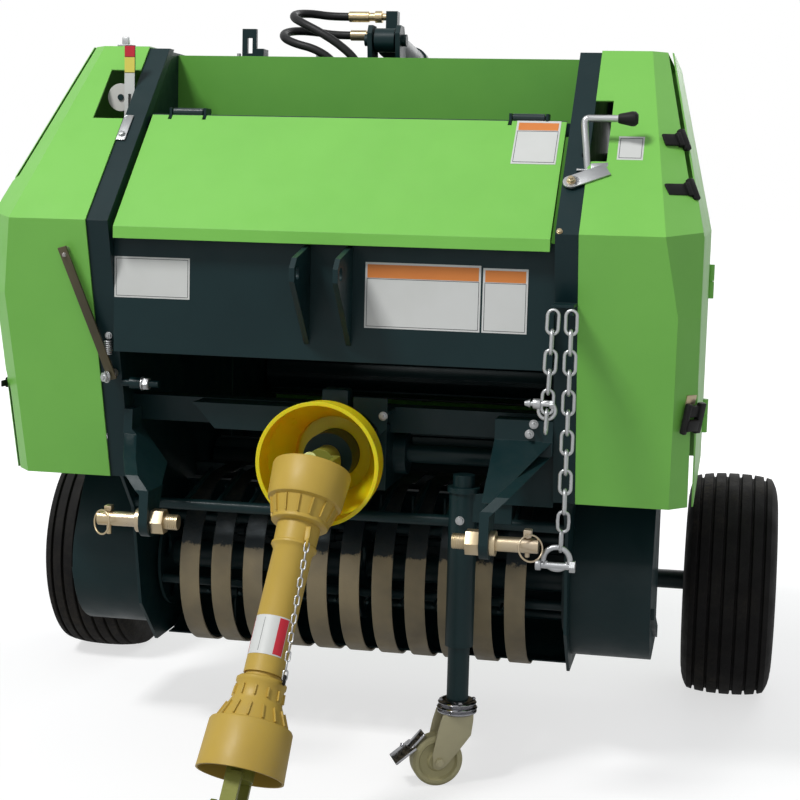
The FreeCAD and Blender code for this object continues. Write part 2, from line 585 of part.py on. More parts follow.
NOSE_R, NOSE_END = 38.0, -150.0
BOWL_SEAT_Y, BOWL_R, BOWL_T = -95.0, 90.0, 3.0


def driveline():
    joint = V(0, JOINT_Y, JOINT_Z)
    front = V(0, -1, 0)
    case = fuse([box(-CASE_HALF, CASE_HALF, CASE_FRONT, CASE_REAR, JOINT_Z - CASE_DOWN, JOINT_Z + CASE_UP),
                 box(-56, 56, -76, -60, JOINT_Z - 52, JOINT_Z + 36)])
    seat = rod(V(0, -70, JOINT_Z), V(0, BOWL_SEAT_Y, JOINT_Z), 60)
    nose = rod(V(0, BOWL_SEAT_Y, JOINT_Z), V(0, NOSE_END, JOINT_Z), NOSE_R)
    output = disc_x(70, CHAIN_X + CHAIN_W, *DRIVE_CENTRE, ROLLER_SHAFT_R)
    outputs = fuse([output, disc_x(70, 92, *DRIVE_CENTRE, 34)])
    keep("gearbox", fuse([case, seat, nose, outputs,
                          sprocket(CHAIN_X + 2, DRIVE_CENTRE, DRIVE_SPROCKET_R, 10)]))
    bowl = revolve([(0, 62), (20, 62), (75, BOWL_R), (120, BOWL_R), (120, BOWL_R + 3), (123, BOWL_R + 3),
                    (123, BOWL_R - BOWL_T), (76, BOWL_R - BOWL_T), (21, 62 - BOWL_T), (BOWL_T, 62 - BOWL_T),
                    (BOWL_T, NOSE_R + SEAT_GAP), (0, NOSE_R + SEAT_GAP)], V(0, BOWL_SEAT_Y, JOINT_Z), front)
    keep("pto_shield", bowl)
    input_yoke = yoke(joint, Y, X, joint_gap(NOSE_END))
    keep("pto_input_yoke", input_yoke)
    along, swing = shaft_axis(), swing_axis()
    keep("pto_cross", cross(joint, X, swing))
    tube_start = YOKE_REACH + 24
    rear_yoke = yoke(joint, along, swing, 24)
    keep("pto_tube_rear", fuse([rear_yoke, tube(joint + along * tube_start,
                                                joint + along * (REAR_GUARD_END - 10),
                                                OUTER_TUBE_R, OUTER_TUBE_R - TUBE_T)]))
    neck = OUTER_TUBE_R + SEAT_GAP
    rear_in = neck + 7.0
    rear_out = rear_in + GUARD_T
    keep("pto_guard_rear", revolve([
        (4, 52), (4, 57), (10, 58), (55, 55), (60, 49), (88, 43), (92, 45), (96, 43), (122, 38), (126, 40),
                                    (130, 37),
        (134, rear_out), (REAR_GUARD_END, rear_out), (REAR_GUARD_END, rear_in), (134, rear_in), (122, 34),
                                    (96, 34),
        (96, neck), (88, neck), (84, 40), (60, 46), (54, 51)], joint, along))
    end = joint + along * END_JOINT
    bell = END_JOINT - 34.0
    slide_in = rear_in - SEAT_GAP - GUARD_T
    end_yoke_hub = END_JOINT - YOKE_REACH - 24
    front_yoke = yoke(end, along * -1, swing, 24)
    keep("pto_tube_front", fuse([front_yoke, tube(joint + along * (FRONT_GUARD_START - 20),
                                                  joint + along * end_yoke_hub, INNER_TUBE_R,
                                                  INNER_TUBE_R - TUBE_T)]))
    keep("pto_guard_front", revolve([
        (FRONT_GUARD_START, slide_in), (FRONT_GUARD_START, slide_in + GUARD_T),
        (REAR_GUARD_END + 6, slide_in + GUARD_T), (REAR_GUARD_END + 8, 34), (REAR_GUARD_END + 12, 35),
        (REAR_GUARD_END + 16, 33), (REAR_GUARD_END + 40, 36), (REAR_GUARD_END + 66, 45), (bell - 60, 53),
        (bell - 6, 56), (bell, 57), (bell, 54), (bell - 62, 50), (REAR_GUARD_END + 68, 41),
        (bell - 74, YOKE_HUB_R + SEAT_GAP), (bell - 78, YOKE_HUB_R + SEAT_GAP), (REAR_GUARD_END + 40, 30),
        (REAR_GUARD_END + 12, slide_in)], joint, along))
    side = along.cross(swing)
    keep("pto_end_cross", cross(end, side, swing))
    end_yoke = yoke(end, along, side, END_HUB - 8)
    bore = rod(end + along * (YOKE_REACH - 1), end + along * (YOKE_REACH + END_HUB), SPLINE_R)
    keep("pto_end_yoke", end_yoke.cut(bore))


def joint_gap(end):
    """How long the input yoke's hub is, from its fork back to the gearbox nose."""
    return end - JOINT_Y - YOKE_REACH


# ---------------------------------------------------------------- pickup
REEL_SHAFT_R = 15.0
BAND_COUNT = int((CHAMBER_WIDTH - 100) // BAND_PITCH)
CARRIER = 24.0


def band(x_mid):
    """One guard band: from the upper carrier over the front and back to the lower one."""
    x0, r = x_mid - BAND_W / 2, PICKUP_R
    top = on_circle(PICKUP_Y, PICKUP_Z, r, 75)
    low = on_circle(PICKUP_Y, PICKUP_Z, r, -75)
    inner_top = on_circle(PICKUP_Y, PICKUP_Z, r - BAND_T, 75)
    inner_low = on_circle(PICKUP_Y, PICKUP_Z, r - BAND_T, -75)
    rear = PICKUP_Y + r + 10
    return arc_plate_yz(x0, x0 + BAND_W, (rear, top[1]), [
        top, ((PICKUP_Y - r, PICKUP_Z), low), (rear, low[1]), (rear, low[1] + BAND_T), inner_low,
        ((PICKUP_Y - r + BAND_T, PICKUP_Z), inner_top), (rear, top[1] - BAND_T)])


PAN_STEP = 30.0


def pickup_end_form(x0, x1, inset):
    """The outer form of a pickup end cover, its walls moved in by an inset: a drum with a box on top."""
    radius, top, rear = PICKUP_END_R - inset, PICKUP_END_TOP - inset, PICKUP_Y + 130 - inset
    front = (PICKUP_Y - radius, PICKUP_Z)
    low = (PICKUP_Y, PICKUP_Z - radius)
    between = on_circle(PICKUP_Y, PICKUP_Z, radius, 225)
    shoulder = on_circle(PICKUP_Y, PICKUP_Z, radius, 150)
    high = on_circle(PICKUP_Y, PICKUP_Z, radius, 165)
    return arc_plate_yz(x0, x1, (rear, top), [(PICKUP_Y - 66 + inset, top), shoulder, (high, front),
                                             (between, low), (rear, low[1])])


def pickup():
    first = -(BAND_COUNT - 1) / 2 * BAND_PITCH
    centres = [first + i * BAND_PITCH for i in range(BAND_COUNT)]
    keep("pickup_bands", *[band(x) for x in centres])
    rise = PICKUP_R * math.sin(math.radians(75))
    rear = PICKUP_Y + PICKUP_R + 10
    high, low = PICKUP_Z + rise - BAND_T, PICKUP_Z - rise + BAND_T
    carriers = [box(-FRAME_X, FRAME_X, rear - CARRIER, rear, high - CARRIER, high),
                box(-FRAME_X, FRAME_X, rear - CARRIER, rear, low, low + CARRIER)]
    CROSS_MEMBERS.extend(carriers)
    x0, x1 = PLATE_X, PLATE_X + PICKUP_END_W
    shell = pickup_end_form(x0, x1, 0.0).cut(pickup_end_form(x0 - 1, x1 - 3, 3.0))
    rib = plate_yz([(PICKUP_Y - 112, PICKUP_Z - 14), (PICKUP_Y - 106, PICKUP_Z - 34),
                    (PICKUP_Y + 60, PICKUP_Z - 104),
                    (PICKUP_Y + 60, PICKUP_Z - 84)], x1, x1 + 6)
    keep("pickup_ends", *both(fuse([shell, rib])))
    outer = PICKUP_R - BAND_T - SEAT_GAP
    sector = outer * 2
    wedge = plate_yz([(PICKUP_Y, PICKUP_Z)] + [on_circle(PICKUP_Y, PICKUP_Z, sector, PAN_FROM + i * PAN_STEP)
                                               for i in range(int((PAN_TO - PAN_FROM) / PAN_STEP) + 1)],
                     -FRAME_X, FRAME_X)
    pan = bar_x(PICKUP_Y, PICKUP_Z, FRAME_X - SEAT_GAP, outer).cut(
        bar_x(PICKUP_Y, PICKUP_Z, FRAME_X, outer - SHEET_T))
    keep("pickup_pan", pan.common(wedge))
    half = FRAME_X - MOVE_GAP
    pieces = [bar_x(PICKUP_Y, PICKUP_Z, half, REEL_TUBE_R),
              bar_x(PICKUP_Y, PICKUP_Z, PLATE_X + 8, REEL_SHAFT_R)]
    for i in range(TINE_BARS):
        turn = 360.0 * i / TINE_BARS + 23
        y, z = on_circle(PICKUP_Y, PICKUP_Z, TINE_ORBIT, turn)
        pieces.append(bar_x(y, z, half, TINE_BAR_R))
        tip = V(0, *on_circle(PICKUP_Y, PICKUP_Z, TINE_TIP_R, turn - 8))
        foot = V(0, y, z)
        for x_mid in centres[:-1]:
            x = X * (x_mid + BAND_PITCH / 2)
            pieces.append(rod(foot + x, tip + x, TINE_R))
            pieces.append(disc_x(x.x - 6, x.x + 6, y, z, TINE_BAR_R + 4))
    for x in (-half, -2.5, half - PLATE_T):
        spider = disc_x(x, x + PLATE_T, PICKUP_Y, PICKUP_Z, TINE_ORBIT + TINE_BAR_R + 4)
        for i in range(TINE_BARS):
            y, z = on_circle(PICKUP_Y, PICKUP_Z, TINE_ORBIT - 20, 360.0 * (i + 0.5) / TINE_BARS + 23)
            spider = spider.cut(disc_x(x - 1, x + PLATE_T + 1, y, z, 20))
        pieces.append(spider)
    keep("pickup_reel", fuse(pieces))


def hold_down():
    """The windguard: a round bar across the front with its row of fingers."""
    y, z, radius, rise = -20.0, 408.0, 9.0, 34.0
    bar = bar_x(y, z, FRAME_X, radius)
    pieces = [bar]
    for i in range(-5, 6):
        x = i * BAND_PITCH
        if abs(x) > JACK_CLEAR and abs(x - JACK_X) < JACK_CLEAR:
            continue
        pieces.append(rod(V(x, y, z), V(x, y + 150, z + rise), 4.0))
    keep("hold_down", fuse(pieces))


JACK_CLEAR = SLEEVE_R + MOVE_GAP


# ---------------------------------------------------------------- rollers and their chains
FRONT_ROLLERS = (
    # name, angle from +Y in degrees, counted towards +Z
    ("a", 112.0), ("b", 146.0), ("c", 180.0), ("d", 250.0),
)
GATE_ROLLERS = (
    ("e", 78.0), ("f", 42.0), ("g", 6.0), ("h", -30.0), ("i", -66.0),
)
DRIVE_CENTRE = (20.0, JOINT_Z - 12)
SPROCKET_R, DRIVE_SPROCKET_R = 46.0, 32.0


def roller_centre(angle):
    return on_circle(CHAMBER_Y, CHAMBER_Z, ROLLER_ORBIT, angle)


def sprocket(x, centre, radius, teeth):
    """A toothed wheel, its teeth as points round its rim."""
    points = []
    for i in range(teeth):
        for share, r in ((0.0, radius - 5), (0.3, radius), (0.5, radius), (0.8, radius - 5)):
            points.append(on_circle(*centre, r, 360.0 * (i + share) / teeth))
    return plate_yz(points, x, x + CHAIN_W * 0.6)


def rollers():
    for name, angle in FRONT_ROLLERS + GATE_ROLLERS:
        y, z = roller_centre(angle)
        pieces = [bar_x(y, z, FRAME_X - 4, ROLLER_R), bar_x(y, z, PLATE_X + 14, ROLLER_SHAFT_R)]
        for i in range(ROLLER_RIBS):
            rib = box(-FRAME_X + 8, FRAME_X - 8, y - 4, y + 4, z, z + ROLLER_R + ROLLER_RIB)
            rib.rotate(V(0, y, z), X, 360.0 * i / ROLLER_RIBS)
            pieces.append(rib)
        if name == "c":
            pieces += [disc_x(PLATE_X + 10, CHAIN_X + 2 * CHAIN_W, y, z, ROLLER_SHAFT_R),
                       sprocket(CHAIN_X + 2, (y, z), SPROCKET_R, 14)]
        keep("roller_" + name, fuse(pieces))


def chain_loop(x, centre_a, radius_a, centre_b, radius_b):
    """A roller chain round two sprockets, as one closed loop."""
    outlines = []
    for extra in (CHAIN_H, 0.8):
        ra, rb = radius_a + extra, radius_b + extra
        gap = math.hypot(centre_b[0] - centre_a[0], centre_b[1] - centre_a[1])
        heading = math.degrees(math.atan2(centre_b[1] - centre_a[1], centre_b[0] - centre_a[0]))
        spread = math.degrees(math.acos((ra - rb) / gap))
        a_up, a_low = (on_circle(*centre_a, ra, heading + s * spread) for s in (1, -1))
        b_up, b_low = (on_circle(*centre_b, rb, heading + s * spread) for s in (1, -1))
        outlines.append(arc_plate_yz(x, x + CHAIN_W, a_up, [
            (on_circle(*centre_a, ra, heading + 180), a_low), b_low,
                                                            (on_circle(*centre_b, rb, heading), b_up),
                                                            a_up]))
    return outlines[0].cut(outlines[1])


def chain_drive():
    c = roller_centre(dict(FRONT_ROLLERS)["c"])
    loop = chain_loop(CHAIN_X, DRIVE_CENTRE, DRIVE_SPROCKET_R, c, SPROCKET_R)
    keep("drive_chain", loop)


# ---------------------------------------------------------------- tailgate
def gate_outline(radius, front, low, top):
    """The drum-shaped outline of the tailgate: its front edge, then round the rear."""
    start = on_circle(CHAMBER_Y, CHAMBER_Z, radius, 84)
    end = on_circle(CHAMBER_Y, CHAMBER_Z, radius, -84)
    rear = (CHAMBER_Y + radius, CHAMBER_Z)
    return (front, top), [start, (rear, end), (front, low), (front, top)]


def tailgate():
    start, moves = gate_outline(GATE_R, GATE_FRONT, CHAMBER_Z - GATE_R, CHAMBER_Z + GATE_R)
    plate = arc_plate_yz(FRAME_X, PLATE_X, start, moves)
    arm = plate_yz([(GATE_Y - 20, GATE_Z + 14), (GATE_Y - 8, GATE_Z + 24), (GATE_Y + 16, GATE_Z + 24),
                    (640, 1060),
                    (640, 1010), (GATE_Y + 8, GATE_Z - 22), (GATE_Y - 12, GATE_Z - 20)],
                   PLATE_X + SEAT_GAP, PLATE_X + 8)
    pad = plate_yz([(GATE_FRONT, 1058), (640, 1056), (640, 1014), (GATE_FRONT, 1030)], PLATE_X - 1,
                   PLATE_X + 1)
    side = fuse([plate, arm, pad])
    for _, angle in GATE_ROLLERS:
        y, z = roller_centre(angle)
        side = fuse([side, disc_x(PLATE_X - 1, PLATE_X + 8, y, z, ROLLER_SHAFT_R + 16)])
        side = side.cut(bar_x(y, z, PLATE_X + 20, ROLLER_SHAFT_R + RUN_GAP))
    side = side.cut(bar_x(GATE_Y, GATE_Z, PLATE_X + 20, GATE_PIN_R + RUN_GAP))
    keep("tailgate_sides", *both(side))
    outer = arc_plate_yz(-FRAME_X, FRAME_X, start, moves)
    start, moves = gate_outline(GATE_R - SHEET_T, GATE_FRONT - 1, CHAMBER_Z - GATE_R + SHEET_T,
                                CHAMBER_Z + GATE_R - SHEET_T)
    skin = outer.cut(arc_plate_yz(-FRAME_X - 1, FRAME_X + 1, start, moves))
    ribs = []
    for x in (-200.0, 200.0):
        ring = arc_plate_yz(x - 15, x + 15, *gate_outline(GATE_R + 12, GATE_FRONT + 20,
                                                          CHAMBER_Z - GATE_R - 12,
                                                         CHAMBER_Z + GATE_R + 12))
        ring = ring.cut(arc_plate_yz(x - 16, x + 16, *gate_outline(GATE_R, GATE_FRONT, CHAMBER_Z - GATE_R,
                                                                  CHAMBER_Z + GATE_R)))
        ribs.append(ring.common(box(-400, 400, CHAMBER_Y + 40, 1000, 0, 1300)))
    eye_y, eye_z = CYL_EYE
    lug = plate_yz([(eye_y - 50, 990), (eye_y - 20, eye_z + 14), (eye_y - 8, eye_z + 22),
                    (eye_y + 10, eye_z + 22),
                    (eye_y + 22, eye_z + 8), (eye_y + 60, 960)], LUG_X, LUG_X + LUG_T)
    drum = arc_plate_yz(-FRAME_X, FRAME_X, *gate_outline(GATE_R, 300, CHAMBER_Z - GATE_R,
                                                         CHAMBER_Z + GATE_R))
    lug = lug.cut(drum)
    lug = fuse([lug, disc_x(LUG_X - 2, LUG_X + LUG_T + 6, eye_y, eye_z, CYL_PIN_R)])
    lugs = Part.makeCompound(both(lug))
    lugs.translate(X * CYL_X)
    keep("tailgate_skin", fuse([skin] + ribs + lugs.Solids))


def cylinder():
    base, eye = V(CYL_X, *CYL_BASE), V(CYL_X, *CYL_EYE)
    along = eye - base
    along.normalize()
    barrel = fuse([Part.makeCylinder(20, 2 * EYE_HALF, base - X * EYE_HALF, X),
                   rod(base + along * 12, base + along * 40, EYE_HALF - 1),
                   rod(base + along * 38, base + along * BARREL_LENGTH, CYL_R),
                   rod(base + along * (BARREL_LENGTH - 26), base + along * BARREL_LENGTH, CYL_R + 4)])
    port_a, port_b = V(base.x, HOSE_UPPER[0].y, HOSE_UPPER[0].z), V(base.x, HOSE_LOWER[0].y, HOSE_LOWER[0].z)
    port = fuse([box(base.x - 10, base.x + 10, port_a.y - 10, port_a.y + 10, base.z, port_a.z + 9),
                 rod(port_b, port_b - X * (CYL_R + 6), 9)])
    barrel = fuse([barrel, port])
    fitting_a = revolve([(0, 0), (0, 6), (8, 6), (8, 10), (20, 10), (20, 7), (31, 7), (31, 9),
                         (port_a.x - 10 - HOSE_UPPER[0].x, 9), (port_a.x - 10 - HOSE_UPPER[0].x, 0)],
                        port_a - X * 10, X * -1)
    fitting_b = revolve([(0, 0), (0, 10), (10, 10), (10, 7), (15, 7), (15, 9),
                         (port_b.x - CYL_R - 6 - HOSE_LOWER[0].x, 9),
                         (port_b.x - CYL_R - 6 - HOSE_LOWER[0].x, 0)],
                        port_b - X * (CYL_R + 6), X * -1)
    keep("hose_fittings", fitting_a, fitting_b)
    barrel = barrel.cut(Part.makeCylinder(CYL_PIN_R + RUN_GAP, 60, base - X * 30, X))
    bore = rod(base + along * BORE_BOTTOM, base + along * (BARREL_LENGTH + 1), ROD_R + RUN_GAP)
    barrel = barrel.cut(bore)
    keep("cylinder_barrel", barrel)
    shaft = fuse([rod(base + along * (BARREL_LENGTH - ROD_INSIDE), eye - along * 10, ROD_R),
                  Part.makeCylinder(20, 2 * EYE_HALF, eye - X * EYE_HALF, X)])
    keep("cylinder_rod", shaft.cut(Part.makeCylinder(CYL_PIN_R + RUN_GAP, 60, eye - X * 30, X)))


# ---------------------------------------------------------------- running gear
def wheels():
    hub_in = TRACK_HALF - 60
    w = TYRE_W / 2
    pieces = [bar_x(AXLE_Y, TYRE_R, hub_in - MOVE_GAP, AXLE_R),
              bar_x(AXLE_Y, TYRE_R, TRACK_HALF + 30, STUB_R)]
    for x in (PLATE_X + SEAT_GAP, -PLATE_X - SEAT_GAP - 10):
        pieces.append(disc_x(x, x + 10, AXLE_Y, TYRE_R, AXLE_R + 10))
    keep("axle", fuse(pieces))
    for name, side in SIDES:
        centre = V(TRACK_HALF * side, AXLE_Y, TYRE_R)
        tyre = revolve([(-w + 8, RIM_R + 6), (-w, RIM_R + 40), (-w, TYRE_R - 34), (-w + 12, TYRE_R - 8),
                        (-w + 30, TYRE_R), (w - 30, TYRE_R), (w - 12, TYRE_R - 8), (w, TYRE_R - 34),
                        (w, RIM_R + 40),
                        (w - 8, RIM_R + 6), (w - 16, RIM_R), (-w + 16, RIM_R)], centre, X)
        keep("tyre_" + name, tyre)
        rim = revolve([(-w + 7.5, RIM_R + 5.5), (-w + 16, RIM_R - SEAT_GAP), (w - 16, RIM_R - SEAT_GAP),
                       (w - 7.5, RIM_R + 5.5),
                       (w - 5, RIM_R + 3), (w - 14, RIM_R - RIM_T), (w - 44, RIM_R - RIM_T - 12),
                       (12, RIM_R - 20),
                       (8, 60), (20, 40), (24, 34), (30, 34), (30, STUB_R + RUN_GAP),
                       (-60, STUB_R + RUN_GAP),
                       (-60, 30), (2, 30), (4, 62), (6, RIM_R - 16), (w - 46, RIM_R - RIM_T - 16),
                       (-w + 40, RIM_R - RIM_T - 12), (-w + 14, RIM_R - RIM_T), (-w + 5, RIM_R + 3)],
                      centre, X * side)
        keep("rim_" + name, rim)


def jack():
    x, y = JACK_X, JACK_Y
    sleeve = tube(V(x, y, SLEEVE_LOW), V(x, y, SLEEVE_TOP), SLEEVE_R, LEG_R + SEAT_GAP)
    collar = tube(V(x, y, SLEEVE_TOP - 8), V(x, y, SLEEVE_TOP), SLEEVE_R + 3, LEG_R + SEAT_GAP)
    tab = box(x, BRACKET_IN + 24, JACK_PLATE_Y + PLATE_T, JACK_PLATE_Y + PLATE_T + 8, SLEEVE_TOP - 52,
              SLEEVE_TOP - 8)
    lug = box(BRACKET_IN, BRACKET_IN + 24, JACK_PLATE_Y + PLATE_T, JACK_PLATE_Y + PLATE_T + 8,
              SLEEVE_TOP - 52,
              SLEEVE_TOP + 40)
    clear_leg = rod(V(x, y, SLEEVE_LOW - 1), V(x, y, 700), LEG_R + SEAT_GAP)
    keep("jack_sleeve", fuse([sleeve, collar, tab, lug]).cut(clear_leg))
    bearing_top = CASTOR_PLATE_Z + BEARING_H
    leg = rod(V(x, y, bearing_top + SEAT_GAP), V(x, y, SLEEVE_TOP + 19), LEG_R)
    keep("jack_leg", leg.cut(rod(V(x, y, bearing_top), V(x, y, bearing_top + STEM_UP + 2),
                                 STEM_R + RUN_GAP)))
    wheel_at = V(x, y, CASTOR_R) + CASTOR_OFFSET
    trail = V(CASTOR_OFFSET)
    trail.normalize()
    across = trail.cross(Z)
    half, hub, bore = CASTOR_W / 2, 14.0, 6 + RUN_GAP
    keep("castor_wheel", revolve([
        (-half, bore), (-half, hub), (-half + 5, hub + 3), (-half + 5, CASTOR_R - 12), (-half, CASTOR_R - 9),
        (-half, CASTOR_R - 4), (-half + 4, CASTOR_R), (half - 4, CASTOR_R), (half, CASTOR_R - 4),
                                  (half, CASTOR_R - 9),
        (half - 5, CASTOR_R - 12), (half - 5, hub + 3), (half, hub), (half, bore)], wheel_at, across))
    pieces = [Part.makeCylinder(28, 5, V(x, y, CASTOR_PLATE_Z), Z)]
    cheek_in = CASTOR_W / 2 + 4
    for sign in (-1, 1):
        low, high = wheel_at + across * (sign * cheek_in), V(x, y,
                                                             CASTOR_PLATE_Z + 2) + across * (sign * cheek_in)
        points = [low + trail * 12 - Z * 10, low - trail * 12 - Z * 10, high - trail * 20, high + trail * 26]
        pieces.append(Part.Face(Part.makePolygon(points + points[:1])).extrude(across * (sign * 3)))
    pieces.append(Part.makeCylinder(6, 2 * cheek_in + 12, wheel_at - across * (cheek_in + 6), across))
    pieces.append(rod(V(x, y, CASTOR_PLATE_Z), V(x, y, bearing_top), BEARING_R))
    pieces.append(rod(V(x, y, CASTOR_PLATE_Z), V(x, y, bearing_top + STEM_UP), STEM_R))
    brake_at = wheel_at + trail * (CASTOR_R + 16) + Z * 14
    brake = Part.makeBox(26, 2 * cheek_in + 6, 4, V(-13, -cheek_in - 3, -2))
    brake.Placement = FreeCAD.Placement(brake_at, FreeCAD.Rotation(trail, across, Z, "ZXY"))
    link = Part.makeBox(48, 3, 10, V(-58, cheek_in, -6))
    link.Placement = brake.Placement
    keep("castor_fork", fuse(pieces + [brake, link]))


# ---------------------------------------------------------------- controls and gauges
def controls():
    x, y, z = -COVER_IN - 1, 14.0, 1058.0
    strip = box(x - 17, x, y, y + 3, 1026, 1140)
    slot = box(x - 10, x - 6, y - 1, y + 4, 1030, 1062)
    foot = box(x - 17, -PLATE_X, y, y + 3, 985, 1026)
    pulley_x, pulley_y, pulley_r = x - 26, y + 8, 22.0
    stalk = disc_y(pulley_x, pulley_y - 2, pulley_y + 32, z, 5 - RUN_GAP)
    stay = box(pulley_x - 5, -PLATE_X, pulley_y + 26, pulley_y + 32, z - 38, z + 8)
    stay = stay.cut(box(-COVER_IN - 1, -PLATE_X + 1, pulley_y, pulley_y + 40, z - 8, z + 10))
    keep("bale_gauge", fuse([strip.cut(slot), foot]), fuse([stalk, stay]))
    pulley = revolve([(0, 5), (0, pulley_r), (6, pulley_r), (9, pulley_r - 5), (12, pulley_r - 5),
                      (15, pulley_r),
                      (21, pulley_r), (21, 5)], V(pulley_x, pulley_y, z), Y)
    keep("twine_pulley", pulley)
    x, y = CRANK_X, CRANK_Y
    crank = fuse([rod(V(x, y, 938), V(x, y, 1020), 5), rod(V(x, y, 1018), V(x + 44, y, 1030), 5),
                  rod(V(x + 44, y, 1030), V(x + 78, y, 1030), 8)])
    keep("crank_handle", crank)
    front = V(0, BOTTOM_FRONT[1] - BREAK[1], BREAK[0] - BOTTOM_FRONT[0])
    front.normalize()
    high = V(-COVER_IN - 34, *front_at(819)) + front * 12
    low = V(-FRAME_X + 4, *front_at(630)) + front * 12
    pieces = [rod(high, low, 5)]
    for end in (high + (high - low) * 0.01, low - (high - low) * 0.01):
        pieces.append(rod(end - front * (12 - SEAT_GAP), end + front * 7, 9))
    keep("latch_lever", fuse(pieces))


def hoses():
    keep("hydraulic_hose_upper", rounded_tube(HOSE_UPPER, HOSE_R))
    keep("hydraulic_hose_lower", rounded_tube(HOSE_LOWER, HOSE_R))


def disc_y(x, y0, y1, z, radius):
    return rod(V(x, y0, z), V(x, y1, z), radius)


def front_at(z):
    """The (y, z) of the front face at a height below the break."""
    share = (BREAK[1] - z) / (BREAK[1] - BOTTOM_FRONT[1])
    return BREAK[0] + share * (BOTTOM_FRONT[0] - BREAK[0]), z


# ---------------------------------------------------------------- build and export
def build():
    covers()
    side_plates()
    front_structure()
    hood()
    hitch()
    safety_chains()
    driveline()
    pickup()
    hold_down()
    rollers()
    chain_drive()
    top_frame()
    tailgate()
    cylinder()
    hoses()
    wheels()
    jack()
    controls()
    whole = Part.makeCompound(list(SHAPES.values())).BoundBox
    shift = V(0, -(whole.YMin + whole.YMax) / 2, 0)
    os.makedirs("parts", exist_ok=True)
    for node, shape in SHAPES.items():
        placed = shape.copy()
        placed.translate(shift)
        placed.exportStep("parts/" + node + ".step")
    print("nodes", len(SHAPES), "shift", round(shift.y, 3), "box", whole)
    for node, shape in SHAPES.items():
        if not shape.isValid() or shape.BoundBox.ZMin < -0.001:
            print("not valid", node, shape.isValid(), shape.BoundBox.ZMin)
    return shift.y


ORIGIN_SHIFT = build()
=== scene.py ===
"""Looks of the mini round baler: paint, rubber, plastic, hoses, tread, fasteners and labels."""
import json
import math

import bmesh
import bpy
from mathutils import Matrix, Vector


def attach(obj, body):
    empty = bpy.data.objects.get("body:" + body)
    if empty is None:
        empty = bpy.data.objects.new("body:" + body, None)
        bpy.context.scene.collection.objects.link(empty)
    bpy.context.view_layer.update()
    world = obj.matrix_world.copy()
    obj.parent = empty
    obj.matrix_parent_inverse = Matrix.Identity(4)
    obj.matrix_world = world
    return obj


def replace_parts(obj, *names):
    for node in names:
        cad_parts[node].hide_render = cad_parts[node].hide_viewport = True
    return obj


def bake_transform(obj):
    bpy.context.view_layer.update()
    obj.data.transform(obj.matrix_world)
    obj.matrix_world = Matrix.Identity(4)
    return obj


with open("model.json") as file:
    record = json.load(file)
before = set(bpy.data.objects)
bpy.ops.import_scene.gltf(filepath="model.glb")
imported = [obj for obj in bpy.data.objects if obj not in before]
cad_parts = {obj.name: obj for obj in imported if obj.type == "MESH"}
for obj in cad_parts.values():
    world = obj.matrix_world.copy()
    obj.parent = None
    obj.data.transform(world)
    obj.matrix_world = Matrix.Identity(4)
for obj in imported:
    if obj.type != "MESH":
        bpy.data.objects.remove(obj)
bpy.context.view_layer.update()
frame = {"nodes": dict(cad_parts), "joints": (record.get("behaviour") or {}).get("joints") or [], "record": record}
bpy.context.scene.view_settings.view_transform = "Standard"
NODES = frame["nodes"]
JOINTS = {joint["name"]: joint for joint in frame["joints"]}

# ---------------- sizes, in millimetres of the drawing
AXLE_Y = 574.0
SHIFT_Y = JOINTS["wheel_left_spin"]["pos_m"][1] * 1000 - AXLE_Y
BREAK_Y, BREAK_Z, SLOPE_Y, SLOPE_Z = -197.0, 865.0, 83.0, 1144.0
PANEL_Y = -165.0
HOOD_Y, HOOD_Z = -15.0, 1031.0
TYRE_R, TYRE_W, RIM_R, TRACK_HALF = 206.0, 164.0, 104.0, 605.0
PIN_Y, PIN_Z, PIN_R = -230.0, 421.0, 11.0
JOINT_Y, JOINT_Z, SHAFT_DROP, SHAFT_TURN = -238.0, 518.0, 58.0, 8.0
SKIN = 0.4

X, Y, Z = Vector((1, 0, 0)), Vector((0, 1, 0)), Vector((0, 0, 1))


def at(x, y, z):
    """A place of the part's own drawing, in metres of the frame."""
    return Vector((x, y + SHIFT_Y, z)) / 1000


# ---------------- node groups
def group(name, inputs, outputs):
    """A node group with its inputs (label, value), its outputs (label, kind) and its two end nodes."""
    tree = bpy.data.node_groups.new(name, "ShaderNodeTree")
    for label, value in inputs:
        socket = tree.interface.new_socket(label, in_out="INPUT", socket_type="NodeSocketFloat")
        socket.default_value = value
    for label, kind in outputs:
        tree.interface.new_socket(label, in_out="OUTPUT", socket_type=kind)
    return tree, tree.nodes.new("NodeGroupInput"), tree.nodes.new("NodeGroupOutput")


def add(tree, kind, **settings):
    """A node with its settings."""
    node = tree.nodes.new("ShaderNode" + kind)
    for name, value in settings.items():
        setattr(node, name, value)
    return node


def object_place(tree):
    """The place on the machine, in metres of the frame."""
    return add(tree, "TexCoord").outputs["Object"]


def apart(tree, vector):
    """The three parts of a vector."""
    node = add(tree, "SeparateXYZ")
    tree.links.new(vector, node.inputs[0])
    return node.outputs


def noise(tree, vector, scale, detail=3.0, roughness=0.55):
    """Soft noise over a place."""
    node = add(tree, "TexNoise")
    node.inputs["Scale"].default_value = scale
    node.inputs["Detail"].default_value = detail
    node.inputs["Roughness"].default_value = roughness
    tree.links.new(vector, node.inputs["Vector"])
    return node.outputs["Fac"]


def step(tree, value, low, high, out_low=0.0, out_high=1.0):
    """A clamped ramp of a value."""
    node = add(tree, "MapRange")
    for index, number in enumerate((low, high, out_low, out_high), start=1):
        node.inputs[index].default_value = number
    tree.links.new(value, node.inputs[0])
    return node.outputs[0]


